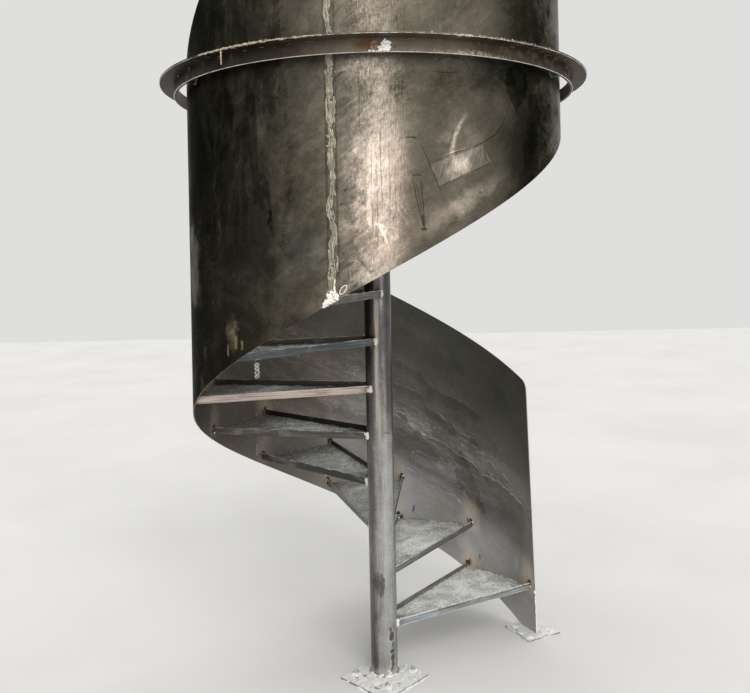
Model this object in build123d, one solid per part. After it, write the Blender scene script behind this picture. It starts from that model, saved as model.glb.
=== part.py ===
from build123d import *
import os
from math import atan2, cos, degrees, radians, sin

# Spiral staircase of welded steel: a centre pole, wedge treads that climb anticlockwise,
# and a rolled sheet wall that follows them up through a ceiling ring.
# Millimetres and degrees. +Z is up, the origin is on the pole's axis at the floor.
# Azimuths are measured anticlockwise from +X, seen from above.

# Centre pole, a steel pipe with a capped top, on a square plate bolted to the floor
POLE_DIAMETER = 114.3
POLE_WALL = 4.0
POLE_CAP_THICKNESS = 5.0
POLE_ABOVE_LANDING = 1000.0
BASE_PLATE_SIDE = 262.0
BASE_PLATE_THICKNESS = 10.0
BASE_PLATE_TURN = 46.7
BASE_PLATE_CENTER_Y = -46.0
BOLT_CIRCLE_DIAMETER = 240.0
BOLT_CIRCLE_CENTER_Y = -18.0
BOLT_CIRCLE_TURN = 4.5
BOLT_HOLE_DIAMETER = 14.0
BOLT_COUNT = 4

# Treads: each is an open pan, a plate laid on the level legs of two angle bars whose
# upright legs stand along the nosing and along the back. Treads are counted from 0.
# The bars part from the tread towards the pole, except the second nosing's, which is
# radial. All treads but the level ones fall a little towards their backs.
TREAD_COUNT = 12
RISER_HEIGHT = 202.1
TREAD_TURN = 27.58
FIRST_NOSING_AZIMUTH = 27.3
FIRST_BAR_TOP = 231.0
BAR_SIZE = 30.0
BAR_THICKNESS = 3.0
BAR_SPREAD_AT_POLE = 23.5
PAN_THICKNESS = 3.0
RADIAL_NOSING = 1
LEVEL_TREADS = (1, 2)
TREAD_TILT = 1.8

# Sheet wall, rolled to a cylinder and welded up from three sheets
WALL_RADIUS = 780.0
SHEET_THICKNESS = 4.0
SHEET_TURN = 117.9
WALL_START_AZIMUTH = 23.2
START_EDGE_LEAN = 3.6
CORNER_RADIUS = 60.0
LIFT_AFTER_NOSING = 3.2
EDGE_BELOW_LAST_TREAD = 80.0
WALL_BAND_HEIGHT = 1200.0
WALL_RING_HEIGHT = 1600.0
GUARD_ABOVE_LANDING = 1100.0
GUARD_PAST_LANDING_NOSING = 1.7

# Plate under the foot of the first sheet
FOOT_PLATE_SIDE = 180.0
FOOT_PLATE_THICKNESS = 8.0
FOOT_PLATE_OVERHANG = 10.0

# Ring of rolled angle round the opening in the ceiling
RING_GAP = 40.0
RING_BAND_THICKNESS = 10.0
RING_BAND_HEIGHT = 46.0
RING_FLANGE_WIDTH = 57.0
RING_FLANGE_THICKNESS = 6.0
RING_BELOW_LANDING = 156.0
SPACER_DIAMETER = 32.0
SPACER_AZIMUTHS = (210.0, 270.0, 330.0)

# Landing that leads off the last tread
LANDING_TURN = 60.0
LANDING_RIM_HEIGHT = 60.0
LUG_THICKNESS = 6.0
LUG_COUNT = 3

# Room left for the weld between pieces that meet on a curve
WELD_GAP = 0.2

# How far the shape that trims a sheet's top edge turns past the sheet's ends
TRIM_OVERRUN = 1.0

# Worked out from the values above
POLE_RADIUS = POLE_DIAMETER / 2
WALL_INSIDE = WALL_RADIUS - SHEET_THICKNESS
BAR_REACH = WALL_INSIDE - WELD_GAP
BAR_START = POLE_RADIUS + WELD_GAP
LANDING_NOSING_AZIMUTH = FIRST_NOSING_AZIMUTH + TREAD_COUNT * TREAD_TURN
LANDING_BAR_TOP = FIRST_BAR_TOP + TREAD_COUNT * RISER_HEIGHT
LAST_BAR_BOTTOM = LANDING_BAR_TOP - RISER_HEIGHT - BAR_SIZE
POLE_TOP = LANDING_BAR_TOP + POLE_ABOVE_LANDING
WALL_END_AZIMUTH = LANDING_NOSING_AZIMUTH + GUARD_PAST_LANDING_NOSING
LIFT_AZIMUTH = FIRST_NOSING_AZIMUTH + LIFT_AFTER_NOSING
EDGE_CLIMB = (LAST_BAR_BOTTOM - EDGE_BELOW_LAST_TREAD) / (LANDING_NOSING_AZIMUTH - LIFT_AZIMUTH)
SEAM_1_AZIMUTH = WALL_START_AZIMUTH + SHEET_TURN
SEAM_2_AZIMUTH = SEAM_1_AZIMUTH + SHEET_TURN
SEAM_TURN = degrees(WELD_GAP / WALL_RADIUS)
RING_INSIDE = WALL_RADIUS + RING_GAP
RING_OUTSIDE = RING_INSIDE + RING_BAND_THICKNESS
RING_TOP = LANDING_BAR_TOP - RING_BELOW_LANDING
RING_BOTTOM = RING_TOP - RING_FLANGE_THICKNESS - RING_BAND_HEIGHT


def tube(outside, inside, height):
    """An upright tube standing on the floor."""
    flat = (Align.CENTER, Align.CENTER, Align.MIN)
    return Cylinder(outside, height, align=flat) - Cylinder(inside, height, align=flat)


def polar(radius, azimuth, z=0.0):
    """A point from its distance to the pole's axis, its azimuth and its height."""
    return Vector(radius * cos(radians(azimuth)), radius * sin(radians(azimuth)), z)


def lower_edge(azimuth):
    """Height of the wall's lower edge: it leaves the floor and climbs with the treads."""
    return EDGE_CLIMB * (azimuth - LIFT_AZIMUTH)


def helical_band(start, end, low_start, low_end, height, inside, outside):
    """A band of constant height on a cylinder, from one azimuth to another, as it climbs."""
    turn = end - start
    climb = low_end - low_start
    middle = (inside + outside) / 2
    path = Helix(pitch=climb * 360 / turn, height=climb, radius=middle)
    section = Plane.XZ * Pos(middle, height / 2) * Rectangle(outside - inside, height)
    band = sweep(section, path=path, binormal=Edge.make_line((0, 0, 0), (0, 0, climb)))
    return Pos(0, 0, low_start) * Rot(0, 0, start) * band


def make_pole():
    """The pipe, from the base plate to under its cap."""
    height = POLE_TOP - BASE_PLATE_THICKNESS - POLE_CAP_THICKNESS
    return Pos(0, 0, BASE_PLATE_THICKNESS) * tube(POLE_RADIUS, POLE_RADIUS - POLE_WALL, height)


def make_pole_cap():
    """A disc that closes the pipe's top."""
    cap = Cylinder(POLE_RADIUS, POLE_CAP_THICKNESS, align=(Align.CENTER, Align.CENTER, Align.MAX))
    return Pos(0, 0, POLE_TOP) * cap


def make_base_plate():
    """The square plate under the pole, with a hole for an anchor near each corner."""
    plate = Pos(0, BASE_PLATE_CENTER_Y) * Rot(0, 0, BASE_PLATE_TURN) * Rectangle(
        BASE_PLATE_SIDE, BASE_PLATE_SIDE)
    spots = PolarLocations(BOLT_CIRCLE_DIAMETER / 2, BOLT_COUNT, start_angle=BOLT_CIRCLE_TURN)
    for spot in spots:
        plate -= Pos(0, BOLT_CIRCLE_CENTER_Y) * spot * Circle(BOLT_HOLE_DIAMETER / 2)
    return extrude(plate, BASE_PLATE_THICKNESS)


def make_foot_plate():
    """The small plate on the floor that the first sheet stands on."""
    radius = WALL_RADIUS + FOOT_PLATE_OVERHANG
    azimuth = (WALL_START_AZIMUTH + LIFT_AZIMUTH) / 2
    plate = Rectangle(FOOT_PLATE_SIDE, FOOT_PLATE_SIDE)
    place = Pos(*polar(radius, azimuth)) * Rot(0, 0, azimuth)
    return place * extrude(plate, FOOT_PLATE_THICKNESS)


def wall_sheet(start, end, height_at_start, height_at_end):
    """One rolled sheet: both edges climb, and its height changes evenly along it."""
    low_start = lower_edge(start)
    low_end = lower_edge(end)
    tall = max(height_at_start, height_at_end)
    sheet = helical_band(start, end, low_start, low_end, tall, WALL_INSIDE, WALL_RADIUS)
    if height_at_start != height_at_end:
        margin = SHEET_THICKNESS
        top_start = low_start + height_at_start
        top_end = low_end + height_at_end
        step = (top_end - top_start) / (end - start)
        rise = step * TRIM_OVERRUN
        offcut = helical_band(start - TRIM_OVERRUN, end + TRIM_OVERRUN, top_start - rise,
                              top_end + rise, tall, WALL_INSIDE - margin, WALL_RADIUS + margin)
        sheet -= offcut
    return sheet


def start_edge_cutter():
    """What is cut from the first sheet: below its foot, and past its leaning start edge."""
    reach = 2 * WALL_RADIUS
    foot = polar(WALL_RADIUS, WALL_START_AZIMUTH, FOOT_PLATE_THICKNESS)
    top_azimuth = WALL_START_AZIMUTH + START_EDGE_LEAN
    top = polar(WALL_RADIUS, top_azimuth, lower_edge(top_azimuth) + WALL_BAND_HEIGHT)
    face = Plane(origin=foot, x_dir=polar(1, top_azimuth + 90), z_dir=polar(1, top_azimuth))
    corner = Vector((top - foot).dot(face.x_dir), top.Z - foot.Z)
    along_top = Vector(radians(1) * WALL_RADIUS, EDGE_CLIMB).normalized()
    edge = FilletPolyline((0, 0), corner, corner + along_top * CORNER_RADIUS * 2,
                          radius=CORNER_RADIUS)
    above = (edge @ 1) + Vector(0, reach)
    rest = Polyline(edge @ 1, above, (-reach, above.Y), (-reach, 0), (0, 0))
    past_edge = extrude(face * make_face(edge + rest), SHEET_THICKNESS * 4, both=True)
    below_foot = Pos(0, 0, FOOT_PLATE_THICKNESS - reach / 2) * Box(reach * 2, reach * 2, reach)
    return past_edge + below_foot


def make_lower_sheet():
    """The first sheet, from the foot of the stair, with its leaning edge and rounded corner."""
    sheet = wall_sheet(WALL_START_AZIMUTH - START_EDGE_LEAN, SEAM_1_AZIMUTH - SEAM_TURN,
                       WALL_BAND_HEIGHT, WALL_BAND_HEIGHT)
    return sheet - start_edge_cutter()


def make_middle_sheet():
    """The second sheet, cut taller towards the ring."""
    return wall_sheet(SEAM_1_AZIMUTH, SEAM_2_AZIMUTH - SEAM_TURN,
                      WALL_BAND_HEIGHT, WALL_RING_HEIGHT)


def make_upper_sheet():
    """The third sheet, which ends as the guard beside the landing."""
    end_height = LANDING_BAR_TOP + GUARD_ABOVE_LANDING - lower_edge(WALL_END_AZIMUTH)
    return wall_sheet(SEAM_2_AZIMUTH, WALL_END_AZIMUTH, WALL_RING_HEIGHT, end_height)


def tread_sides(number):
    """The azimuths of a tread's nosing bar and back bar, each at the wall and at the pole.

    The landing comes after the last tread and is numbered as one more.
    """
    nosing = FIRST_NOSING_AZIMUTH + number * TREAD_TURN
    back = nosing + (TREAD_TURN if number < TREAD_COUNT else LANDING_TURN)
    nosing_spread = 0 if number == RADIAL_NOSING else BAR_SPREAD_AT_POLE
    return (nosing, nosing - nosing_spread), (back, back + BAR_SPREAD_AT_POLE)


def bar_line(wall_azimuth, pole_azimuth):
    """The centre line of a bar from the pole to the wall, and its direction."""
    pole_end = polar(POLE_RADIUS, pole_azimuth)
    wall_end = polar(WALL_INSIDE, wall_azimuth)
    return pole_end, wall_end, (wall_end - pole_end).normalized()


def settle(shape, number):
    """A tread's piece set at the tread's height, tilted about its nosing bar and trimmed.

    The piece comes with the tread's top at zero, and longer than it ends up at the pole
    and at the wall.
    """
    top = FIRST_BAR_TOP + number * RISER_HEIGHT
    pole_end, wall_end, along = bar_line(*tread_sides(number)[0])
    if number < TREAD_COUNT and number not in LEVEL_TREADS:
        hinge = Axis(wall_end - Vector(0, 0, BAR_SIZE / 2), along)
        shape = shape.rotate(hinge, -TREAD_TILT)
    room = Pos(0, 0, top - 2 * BAR_SIZE) * tube(BAR_REACH, BAR_START, 3 * BAR_SIZE)
    return (Pos(0, 0, top) * shape) & room


def bar(number, wall_azimuth, pole_azimuth, side):
    """An angle bar from the pole to the wall: side is -1 at the nosing and 1 at the back.

    Its upright leg is on the tread's outside and its level leg points into the tread.
    """
    pole_end, wall_end, along = bar_line(wall_azimuth, pole_azimuth)
    length = (wall_end - pole_end).length + 2 * BAR_SIZE
    middle = (pole_end + wall_end) / 2
    heading = degrees(atan2(along.Y, along.X))
    inside = BAR_SIZE - BAR_THICKNESS
    offset = BAR_THICKNESS / 2
    blank = Box(length, BAR_SIZE, BAR_SIZE)
    blank -= Pos(0, -side * offset, offset) * Box(length, inside, inside)
    return settle(Pos(middle.X, middle.Y, -BAR_SIZE / 2) * Rot(0, 0, heading) * blank, number)


def tread_bars(number):
    """The nosing bar and the back bar of one tread."""
    nosing, back = tread_sides(number)
    return [bar(number, *nosing, -1), bar(number, *back, 1)]


def tread_pan(number):
    """The plate between the bars' upright legs, on their level legs."""
    corners = []
    for (wall_azimuth, pole_azimuth), side in zip(tread_sides(number), (-1, 1)):
        pole_end, wall_end, along = bar_line(wall_azimuth, pole_azimuth)
        outward = Vector(-along.Y, along.X, 0) * side * (BAR_SIZE / 2 - BAR_THICKNESS)
        corners.append((pole_end + outward - along * (POLE_RADIUS / 2),
                        wall_end + outward + along * BAR_SIZE * 2))
    (front_in, front_out), (back_in, back_out) = corners
    outline = Polyline(front_in, front_out, back_out, back_in, close=True)
    plate = extrude(make_face(outline), PAN_THICKNESS)
    return settle(Pos(0, 0, BAR_THICKNESS - BAR_SIZE) * plate, number)


def sector(start, end, radius):
    """A flat wedge from the axis, wider than any ring it cuts."""
    steps = max(1, round((end - start) / 30))
    reach = radius * 2
    arc = [polar(reach, start + (end - start) * step / steps) for step in range(steps + 1)]
    return make_face(Polyline((0, 0, 0), *arc, close=True))


def make_landing_rim():
    """A curved flat along the landing's outer edge, in line with the wall."""
    start = WALL_END_AZIMUTH + SEAM_TURN
    end = LANDING_NOSING_AZIMUTH + LANDING_TURN + degrees(BAR_SIZE / 2 / WALL_RADIUS)
    ring = Circle(WALL_RADIUS) - Circle(WALL_INSIDE)
    rim = extrude(ring & sector(start, end, WALL_RADIUS), LANDING_RIM_HEIGHT)
    return Pos(0, 0, LANDING_BAR_TOP - LANDING_RIM_HEIGHT) * rim


def make_landing_lugs():
    """Upright lugs that hang the landing's rim from the inside of the ring."""
    height = LANDING_BAR_TOP - RING_BOTTOM
    width = RING_GAP - 2 * WELD_GAP
    first = WALL_END_AZIMUTH + LUG_THICKNESS
    last = LANDING_NOSING_AZIMUTH + LANDING_TURN
    lugs = []
    for number in range(LUG_COUNT):
        azimuth = first + (last - first) * number / (LUG_COUNT - 1)
        place = Rot(0, 0, azimuth) * Pos(WALL_RADIUS + RING_GAP / 2, 0, RING_BOTTOM + height / 2)
        lugs.append(place * Box(width, LUG_THICKNESS, height))
    return lugs


def make_ring_band():
    """The ring's upright leg, all the way round."""
    return Pos(0, 0, RING_BOTTOM) * tube(RING_OUTSIDE, RING_INSIDE, RING_BAND_HEIGHT)


def make_ring_flange():
    """The ring's level leg, turned outwards over the upright one."""
    flange = tube(RING_OUTSIDE + RING_FLANGE_WIDTH, RING_INSIDE, RING_FLANGE_THICKNESS)
    return Pos(0, 0, RING_TOP - RING_FLANGE_THICKNESS) * flange


def make_ring_spacers():
    """Round spacers that hold the ring off the wall."""
    middle = WALL_RADIUS + RING_GAP / 2
    height = RING_BOTTOM + RING_BAND_HEIGHT / 2
    bore = Rot(0, 90, 0) * Cylinder(SPACER_DIAMETER / 2, RING_GAP * 2)
    rod = Pos(middle, 0, 0) * bore
    between = Pos(0, 0, -SPACER_DIAMETER) * tube(RING_INSIDE - WELD_GAP, WALL_RADIUS + WELD_GAP,
                                                 SPACER_DIAMETER * 2)
    spacer = rod & between
    return [Rot(0, 0, azimuth) * Pos(0, 0, height) * spacer for azimuth in SPACER_AZIMUTHS]


def write(name, shapes):
    """Write one node as a STEP file."""
    solids = []
    for shape in shapes if isinstance(shapes, list) else [shapes]:
        solids.extend(shape.solids())
    shape = solids[0] if len(solids) == 1 else Compound(children=solids)
    shape.label = name
    export_step(shape, f"parts/{name}.step")


def main():
    """Write every node."""
    os.makedirs("parts", exist_ok=True)
    write("center_pole", make_pole())
    write("pole_cap", make_pole_cap())
    write("base_plate", make_base_plate())
    write("foot_plate", make_foot_plate())
    write("wall_sheet_lower", make_lower_sheet())
    write("wall_sheet_middle", make_middle_sheet())
    write("wall_sheet_upper", make_upper_sheet())
    write("ring_band", make_ring_band())
    write("ring_flange", make_ring_flange())
    write("ring_spacers", make_ring_spacers())
    for number in range(TREAD_COUNT):
        write(f"tread_{number + 1:02d}_bars", tread_bars(number))
        write(f"tread_{number + 1:02d}_pan", tread_pan(number))
    write("landing_bars", tread_bars(TREAD_COUNT))
    write("landing_pan", tread_pan(TREAD_COUNT))
    write("landing_rim", make_landing_rim())
    write("landing_lugs", make_landing_lugs())


main()
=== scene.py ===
import math
import random

import bmesh
import bpy
from mathutils import Matrix, Vector, noise


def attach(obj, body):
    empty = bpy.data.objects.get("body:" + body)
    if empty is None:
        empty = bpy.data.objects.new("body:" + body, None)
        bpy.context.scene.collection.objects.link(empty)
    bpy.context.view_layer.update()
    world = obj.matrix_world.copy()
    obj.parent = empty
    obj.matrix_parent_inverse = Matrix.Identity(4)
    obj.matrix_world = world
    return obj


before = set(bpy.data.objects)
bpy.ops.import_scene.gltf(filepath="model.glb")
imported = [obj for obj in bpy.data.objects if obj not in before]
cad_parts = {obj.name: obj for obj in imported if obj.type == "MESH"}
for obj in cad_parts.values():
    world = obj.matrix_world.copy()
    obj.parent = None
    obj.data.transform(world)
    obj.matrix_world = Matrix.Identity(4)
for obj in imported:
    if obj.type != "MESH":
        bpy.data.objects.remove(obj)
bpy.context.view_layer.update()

# Camera, at the photograph's place: level, a little rolled, with the lens shifted down
CAMERA_PLACE = Vector((-0.0066, -3.413, 1.777))
CAMERA_ROLL = math.radians(1.15)
FOCAL_IN_FRAME_WIDTHS = 794.9 / 750
SENSOR = 36.0
SHIFT_DOWN = 88.0 / 750

# The stair's own measures, in metres and degrees
POLE = 0.05715
INSIDE = 0.776
OUTSIDE = 0.780
FIRST_NOSING = 27.3
TURN = 27.58
RISER = 0.2021
FIRST_TOP = 0.231
BAR = 0.030
LEG = 0.003
SPREAD = 23.5
TREADS = 12
RADIAL_NOSING = 1
LEVEL = (1, 2)
TILT = 1.8
LANDING_TURN = 60.0
START = 23.2
START_LEAN = 3.6
SEAMS = (141.1, 259.0)
WALL_END = 359.96
CLIMB = 0.007152
LIFT = 30.5
BAND = 1.2
RING_BAND = 1.6
RING_BOTTOM = 2.4482
RING_TOP = 2.5002
RING_INSIDE = 0.820
RING_OUTSIDE = 0.830
FLANGE_OUTSIDE = 0.887
PLATE_TOP = 0.010
FOOT_TOP = 0.008
POLE_TOP = 3.6562
BASE_Y = -0.046
ANCHORS_Y = -0.018
TREAD_ZONE = 0.1795

# A scale that leaves a direction out of a distance, and the sides of a weld bead
FLAT = 1000
BEAD_SIDES = 9

# Light from the sky round the object, and the backdrop behind it
SKY_AT_HORIZON = 0.72
SKY_OVERHEAD = 1.30
BACKDROP = 0.74


def polar(radius, azimuth, z=0):
    a = math.radians(azimuth)
    return Vector((radius * math.cos(a), radius * math.sin(a), z))


def lower_edge(azimuth):
    return CLIMB * (azimuth - LIFT)


# Camera, floor and light

def make_camera():
    data = bpy.data.cameras.new("camera")
    data.sensor_width = SENSOR
    data.lens = SENSOR * FOCAL_IN_FRAME_WIDTHS
    data.shift_y = -SHIFT_DOWN
    camera = bpy.data.objects.new("camera", data)
    bpy.context.scene.collection.objects.link(camera)
    right = Vector((math.cos(CAMERA_ROLL), 0, -math.sin(CAMERA_ROLL)))
    up = Vector((math.sin(CAMERA_ROLL), 0, math.cos(CAMERA_ROLL)))
    back = right.cross(up)
    turn = Matrix((right, up, back)).transposed()
    camera.matrix_world = Matrix.Translation(CAMERA_PLACE) @ turn.to_4x4()
    bpy.context.scene.camera = camera


def softbox(name, place, size, radiance, color):
    """An area light at an azimuth, distance and height, turned to the stair's middle."""
    data = bpy.data.lights.new(name, "AREA")
    data.shape = "RECTANGLE"
    data.size, data.size_y = size
    data.energy = radiance * size[0] * size[1] * math.pi
    data.color = color
    light = bpy.data.objects.new(name, data)
    bpy.context.scene.collection.objects.link(light)
    azimuth, distance, height = place
    place = polar(distance, azimuth, height)
    aim = Vector((0, 0, height)) - place
    light.matrix_world = Matrix.Translation(place) @ aim.to_track_quat("-Z", "Z").to_matrix().to_4x4()
    light.visible_camera = False


def make_light():
    scene = bpy.context.scene
    scene.view_settings.view_transform = "Standard"
    world = bpy.data.worlds.new("world")
    scene.world = world
    world.use_nodes = True
    tree = world.node_tree
    shine = tree.nodes["Background"]
    where = tree.nodes.new("ShaderNodeTexCoord")
    split = tree.nodes.new("ShaderNodeSeparateXYZ")
    rise = tree.nodes.new("ShaderNodeMapRange")
    rise.inputs["From Min"].default_value = 0
    rise.inputs["From Max"].default_value = 0.8
    rise.inputs["To Min"].default_value = SKY_AT_HORIZON
    rise.inputs["To Max"].default_value = SKY_OVERHEAD
    path = tree.nodes.new("ShaderNodeLightPath")
    pick = tree.nodes.new("ShaderNodeMix")
    pick.inputs[3].default_value = BACKDROP
    tree.links.new(where.outputs["Generated"], split.inputs[0])
    tree.links.new(split.outputs[2], rise.inputs[0])
    tree.links.new(path.outputs["Is Camera Ray"], pick.inputs[0])
    tree.links.new(rise.outputs[0], pick.inputs[2])
    tree.links.new(pick.outputs[0], shine.inputs[1])
    shine.inputs[0].default_value = (1, 0.995, 0.985, 1)
    softbox("key", (273, 6.5, 2.6), (2.3, 3.2), 1.9, (1, 0.97, 0.93))
    softbox("side", (309, 5, 2), (0.8, 2.6), 3.2, (0.98, 0.99, 1))
    data = bpy.data.lights.new("sun", "SUN")
    data.energy, data.angle, data.color = 1.36, math.radians(34), (1, 0.99, 0.975)
    sun = bpy.data.objects.new("sun", data)
    scene.collection.objects.link(sun)
    sun.rotation_euler = (-polar(1, 286, 0.85)).to_track_quat("-Z", "Z").to_euler()


# Lines scored on the outside at the front: width, gain, whether upright, places by azimuth and height
SCORES = (
    (0.0034, -0.26, False, (284.5, 2.094), (288.9, 2.123), (295.1, 2.149), (299.7, 2.177), (303.6, 2.215),
        (306.4, 2.27), (308.8, 2.365)),
    (0.005, -0.24, False, (277.3, 2.174), (278.8, 2.178), (280.6, 2.171)),
    (0.004, -0.13, False, (284.4, 2.405), (286, 2.436), (290, 2.452), (293.4, 2.44), (295.2, 2.41),
        (297, 2.385)),
    (0.0034, -0.12, False, (284.4, 2.405), (288, 2.398), (292, 2.402)),
    (0.0034, -0.22, True, (299.5, 2.1), (299.3, 2.118), (298.6, 2.152)),
    (0.0034, -0.18, False, (301.2, 2.105), (302.1, 2.095), (303, 2.085)),
    (0.004, -0.17, True, (286.6, 1.99), (284.4, 2.06), (281.3, 2.16)),
    (0.0036, -0.17, True, (281.7, 1.872), (280.3, 1.96), (279, 2.045)),
    (0.003, -0.12, True, (281.9, 1.873), (281, 1.96), (279.8, 2.035)),
    (0.0032, -0.16, True, (282.1, 1.874), (281.6, 1.96), (281.1, 2.045)),
    (0.006, -0.2, True, (281.9, 1.87), (281.7, 1.89), (281.4, 1.925)),
    (0.0052, -0.3, False, (280.9, 1.876), (281.8, 1.871), (282.7, 1.874)),
    (0.004, -0.2, False, (278.9, 2.046), (280, 2.052), (281.3, 2.046)),
    (0.0045, -0.16, True, (242.9, 1.88), (242.1, 1.9), (241.2, 1.922)),
    (0.005, -0.2, False, (261, 2.38), (262, 2.395), (263.6, 2.4)),
    (0.0028, -0.16, False, (285.7, 2.012), (290, 2.037), (295, 2.067), (301.2, 2.102)),
    (0.0036, 0.26, False, (286.4, 2.106), (290, 2.131), (293.6, 2.143), (296.4, 2.153)),
    (0.0028, -0.17, True, (266.2, 2.2), (266.4, 2.32), (266.3, 2.44)),
    (0.0034, -0.22, True, (271.6, 1.95), (271.4, 2.08), (271.7, 2.22)),
    (0.003, -0.2, True, (269.2, 1.84), (269, 2), (269.3, 2.16)),
    (0.0026, -0.18, True, (270.3, 1.8), (270.4, 1.98), (270.2, 2.12)),
    (0.0026, -0.16, True, (275, 1.86), (274.8, 1.96), (275.1, 2.1)),
    (0.0034, -0.18, True, (273.4, 1.9), (273.5, 2.06), (273.2, 2.17)),
)

# Patches there: azimuth, height, half sizes along and up, turn, softness, gain
FRONT_PLACES = (
    (300, 2.39, 0.1, 0.11, -30, 0.8, -0.17), (287, 2.31, 0.12, 0.12, 0, 0.9, -0.07),
    (220, 2.3, 0.18, 0.25, 0, 0.9, -0.04), (243, 2.08, 0.12, 0.3, 20, 0.9, 0.03),
    (236.9, 2.34, 0.024, 0.07, 2, 0.12, -0.11), (231.9, 2.19, 0.022, 0.085, -3, 0.12, -0.09),
    (240.6, 2.29, 0.026, 0.1, 3, 0.15, 0.05), (239.8, 2.06, 0.05, 0.11, 0, 0.3, -0.05),
    (249, 1.81, 0.07, 0.07, 0, 0.7, -0.08), (255.4, 1.81, 0.036, 0.06, 20, 0.8, 0.1),
    (241.8, 1.925, 0.007, 0.034, -14, 0.3, -0.12), (223.5, 1.9, 0.02, 0.13, 3, 0.2, 0.04),
    (297, 1.995, 0.2, 0.05, 33, 0.8, 0.21), (285, 1.9, 0.13, 0.05, 33, 0.8, 0.15),
    # The bright place at 291.6° is the painted shine in the ground patch's middle.
    (287.7, 2.19, 0.034, 0.016, 12, 0.5, 0.07), (291.6, 2.085, 0.08, 0.045, 16, 0.9, 0.26),
    (266, 2.41, 0.08, 0.065, 0, 0.7, 0.12), (271.5, 2.32, 0.05, 0.03, 30, 0.6, 0.08),
    (276, 2.36, 0.04, 0.09, 10, 0.9, -0.1), (264, 2.28, 0.06, 0.05, 30, 0.9, -0.1),
    (262.8, 2.4, 0.03, 0.03, 0, 0.8, 0.04), (311, 2.38, 0.062, 0.085, -14, 0.08, -0.13),
    (307.5, 2.41, 0.05, 0.034, -30, 0.08, -0.11), (318, 2.26, 0.045, 0.11, -8, 0.08, -0.09),
    (261.8, 1.875, 0.034, 0.075, 0, 0.8, 0.17), (291.5, 2.37, 0.14, 0.105, 0, 0.9, -0.15),
    (269, 2.2, 0.03, 0.065, 0, 0.9, -0.07), (316, 2.14, 0.05, 0.11, -6, 0.25, -0.06),
    (203, 1.78, 0.09, 0.24, 4, 0.4, 0.1), (214, 2.12, 0.045, 0.12, -4, 0.15, -0.05),
    (227, 2.3, 0.05, 0.1, 6, 0.12, -0.06), (248, 1.78, 0.11, 0.12, 30, 0.6, 0.1),
    (292, 2.2, 0.1, 0.09, 24, 0.9, 0.05),
)

# Tide lines inside the lowest sheet: glow, shade below, how deep it reaches, places
TIDE_LINES = (
    (0.12, -0.06, 0.075, (46.8, 0.967), (52, 1.004), (59.4, 1.048), (64.3, 1.067), (69, 1.102),
        (74.7, 1.185), (80.5, 1.223), (88, 1.27)),
    (0.17, -0.045, 0.075, (50, 0.8), (53.6, 0.829), (60.3, 0.872), (64.5, 0.944), (70.3, 0.986),
        (73.7, 1.069), (79, 1.091), (86, 1.13)),
    (0.27, -0.11, 0.34, (26, 0.56), (28.8, 0.579), (36.4, 0.626), (42, 0.668), (48.7, 0.681), (52.4, 0.733),
        (59.9, 0.774), (65.8, 0.82), (70.6, 0.847), (76.4, 0.882), (80.9, 0.95), (88, 0.98)),
    (0.23, 0.03, 0.075, (54, 0.47), (56, 0.493), (60.2, 0.537), (66.2, 0.574), (72.1, 0.614), (76.7, 0.657),
        (84, 0.69)),
    (0.19, -0.05, 0.075, (34, 0.66), (39.1, 0.705), (45.9, 0.762), (52.2, 0.854), (57.2, 0.876),
        (65.6, 0.958), (70, 1.01)),
)

# Marks inside the lowest sheet, drips outside at the left and marks on the pole
INSIDE_MARKS = ((77.4, 0.462, 0.007, 0.026, 14, -0.42), (50.6, 0.262, 0.005, 0.018, -6, -0.42),
    (54.6, 0.256, 0.007, 0.009, 0, -0.55), (27.6, 0.255, 0.012, 0.007, -40, -0.5),
    (66.5, 0.69, 0.035, 0.018, 20, 0.08), (58, 0.33, 0.05, 0.05, 0, 0.06))
DRIPS = ((0.012, (229.3, 1.515), (229.6, 1.49), (229.4, 1.462)),
    (0.007, (226.4, 1.485), (226.2, 1.46), (226.6, 1.435)),
    (0.009, (231.6, 1.5), (232, 1.48), (231.8, 1.462)))
POLE_MARKS = ((299, 0.205, 0.007, 0.012), (306, 0.178, 0.015, 0.024), (307, 0.14, 0.004, 0.014),
    (306.5, 0.114, 0.011, 0.01), (308, 0.086, 0.0095, 0.019), (308, 0.058, 0.0088, 0.017),
    (306, 0.034, 0.01, 0.017))

# The loop of filler at the front seam's foot, and the rows of lumps at the ring's front: height,
# first and last azimuth, count, size
LOOP = (261.6, 1.675)
FILLER_ROWS = ((2.452, 269.3, 271.4, 7, 0.003), (2.454, 271.4, 273.6, 9, 0.0058),
    (2.461, 271.6, 273.8, 8, 0.0062), (2.468, 271.9, 273.7, 6, 0.006), (2.475, 272.1, 273.7, 5, 0.0054),
    (2.48, 272.5, 273.5, 3, 0.0048), (2.486, 272.6, 272.9, 2, 0.0042), (2.49, 272.65, 272.75, 2, 0.0032))

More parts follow.
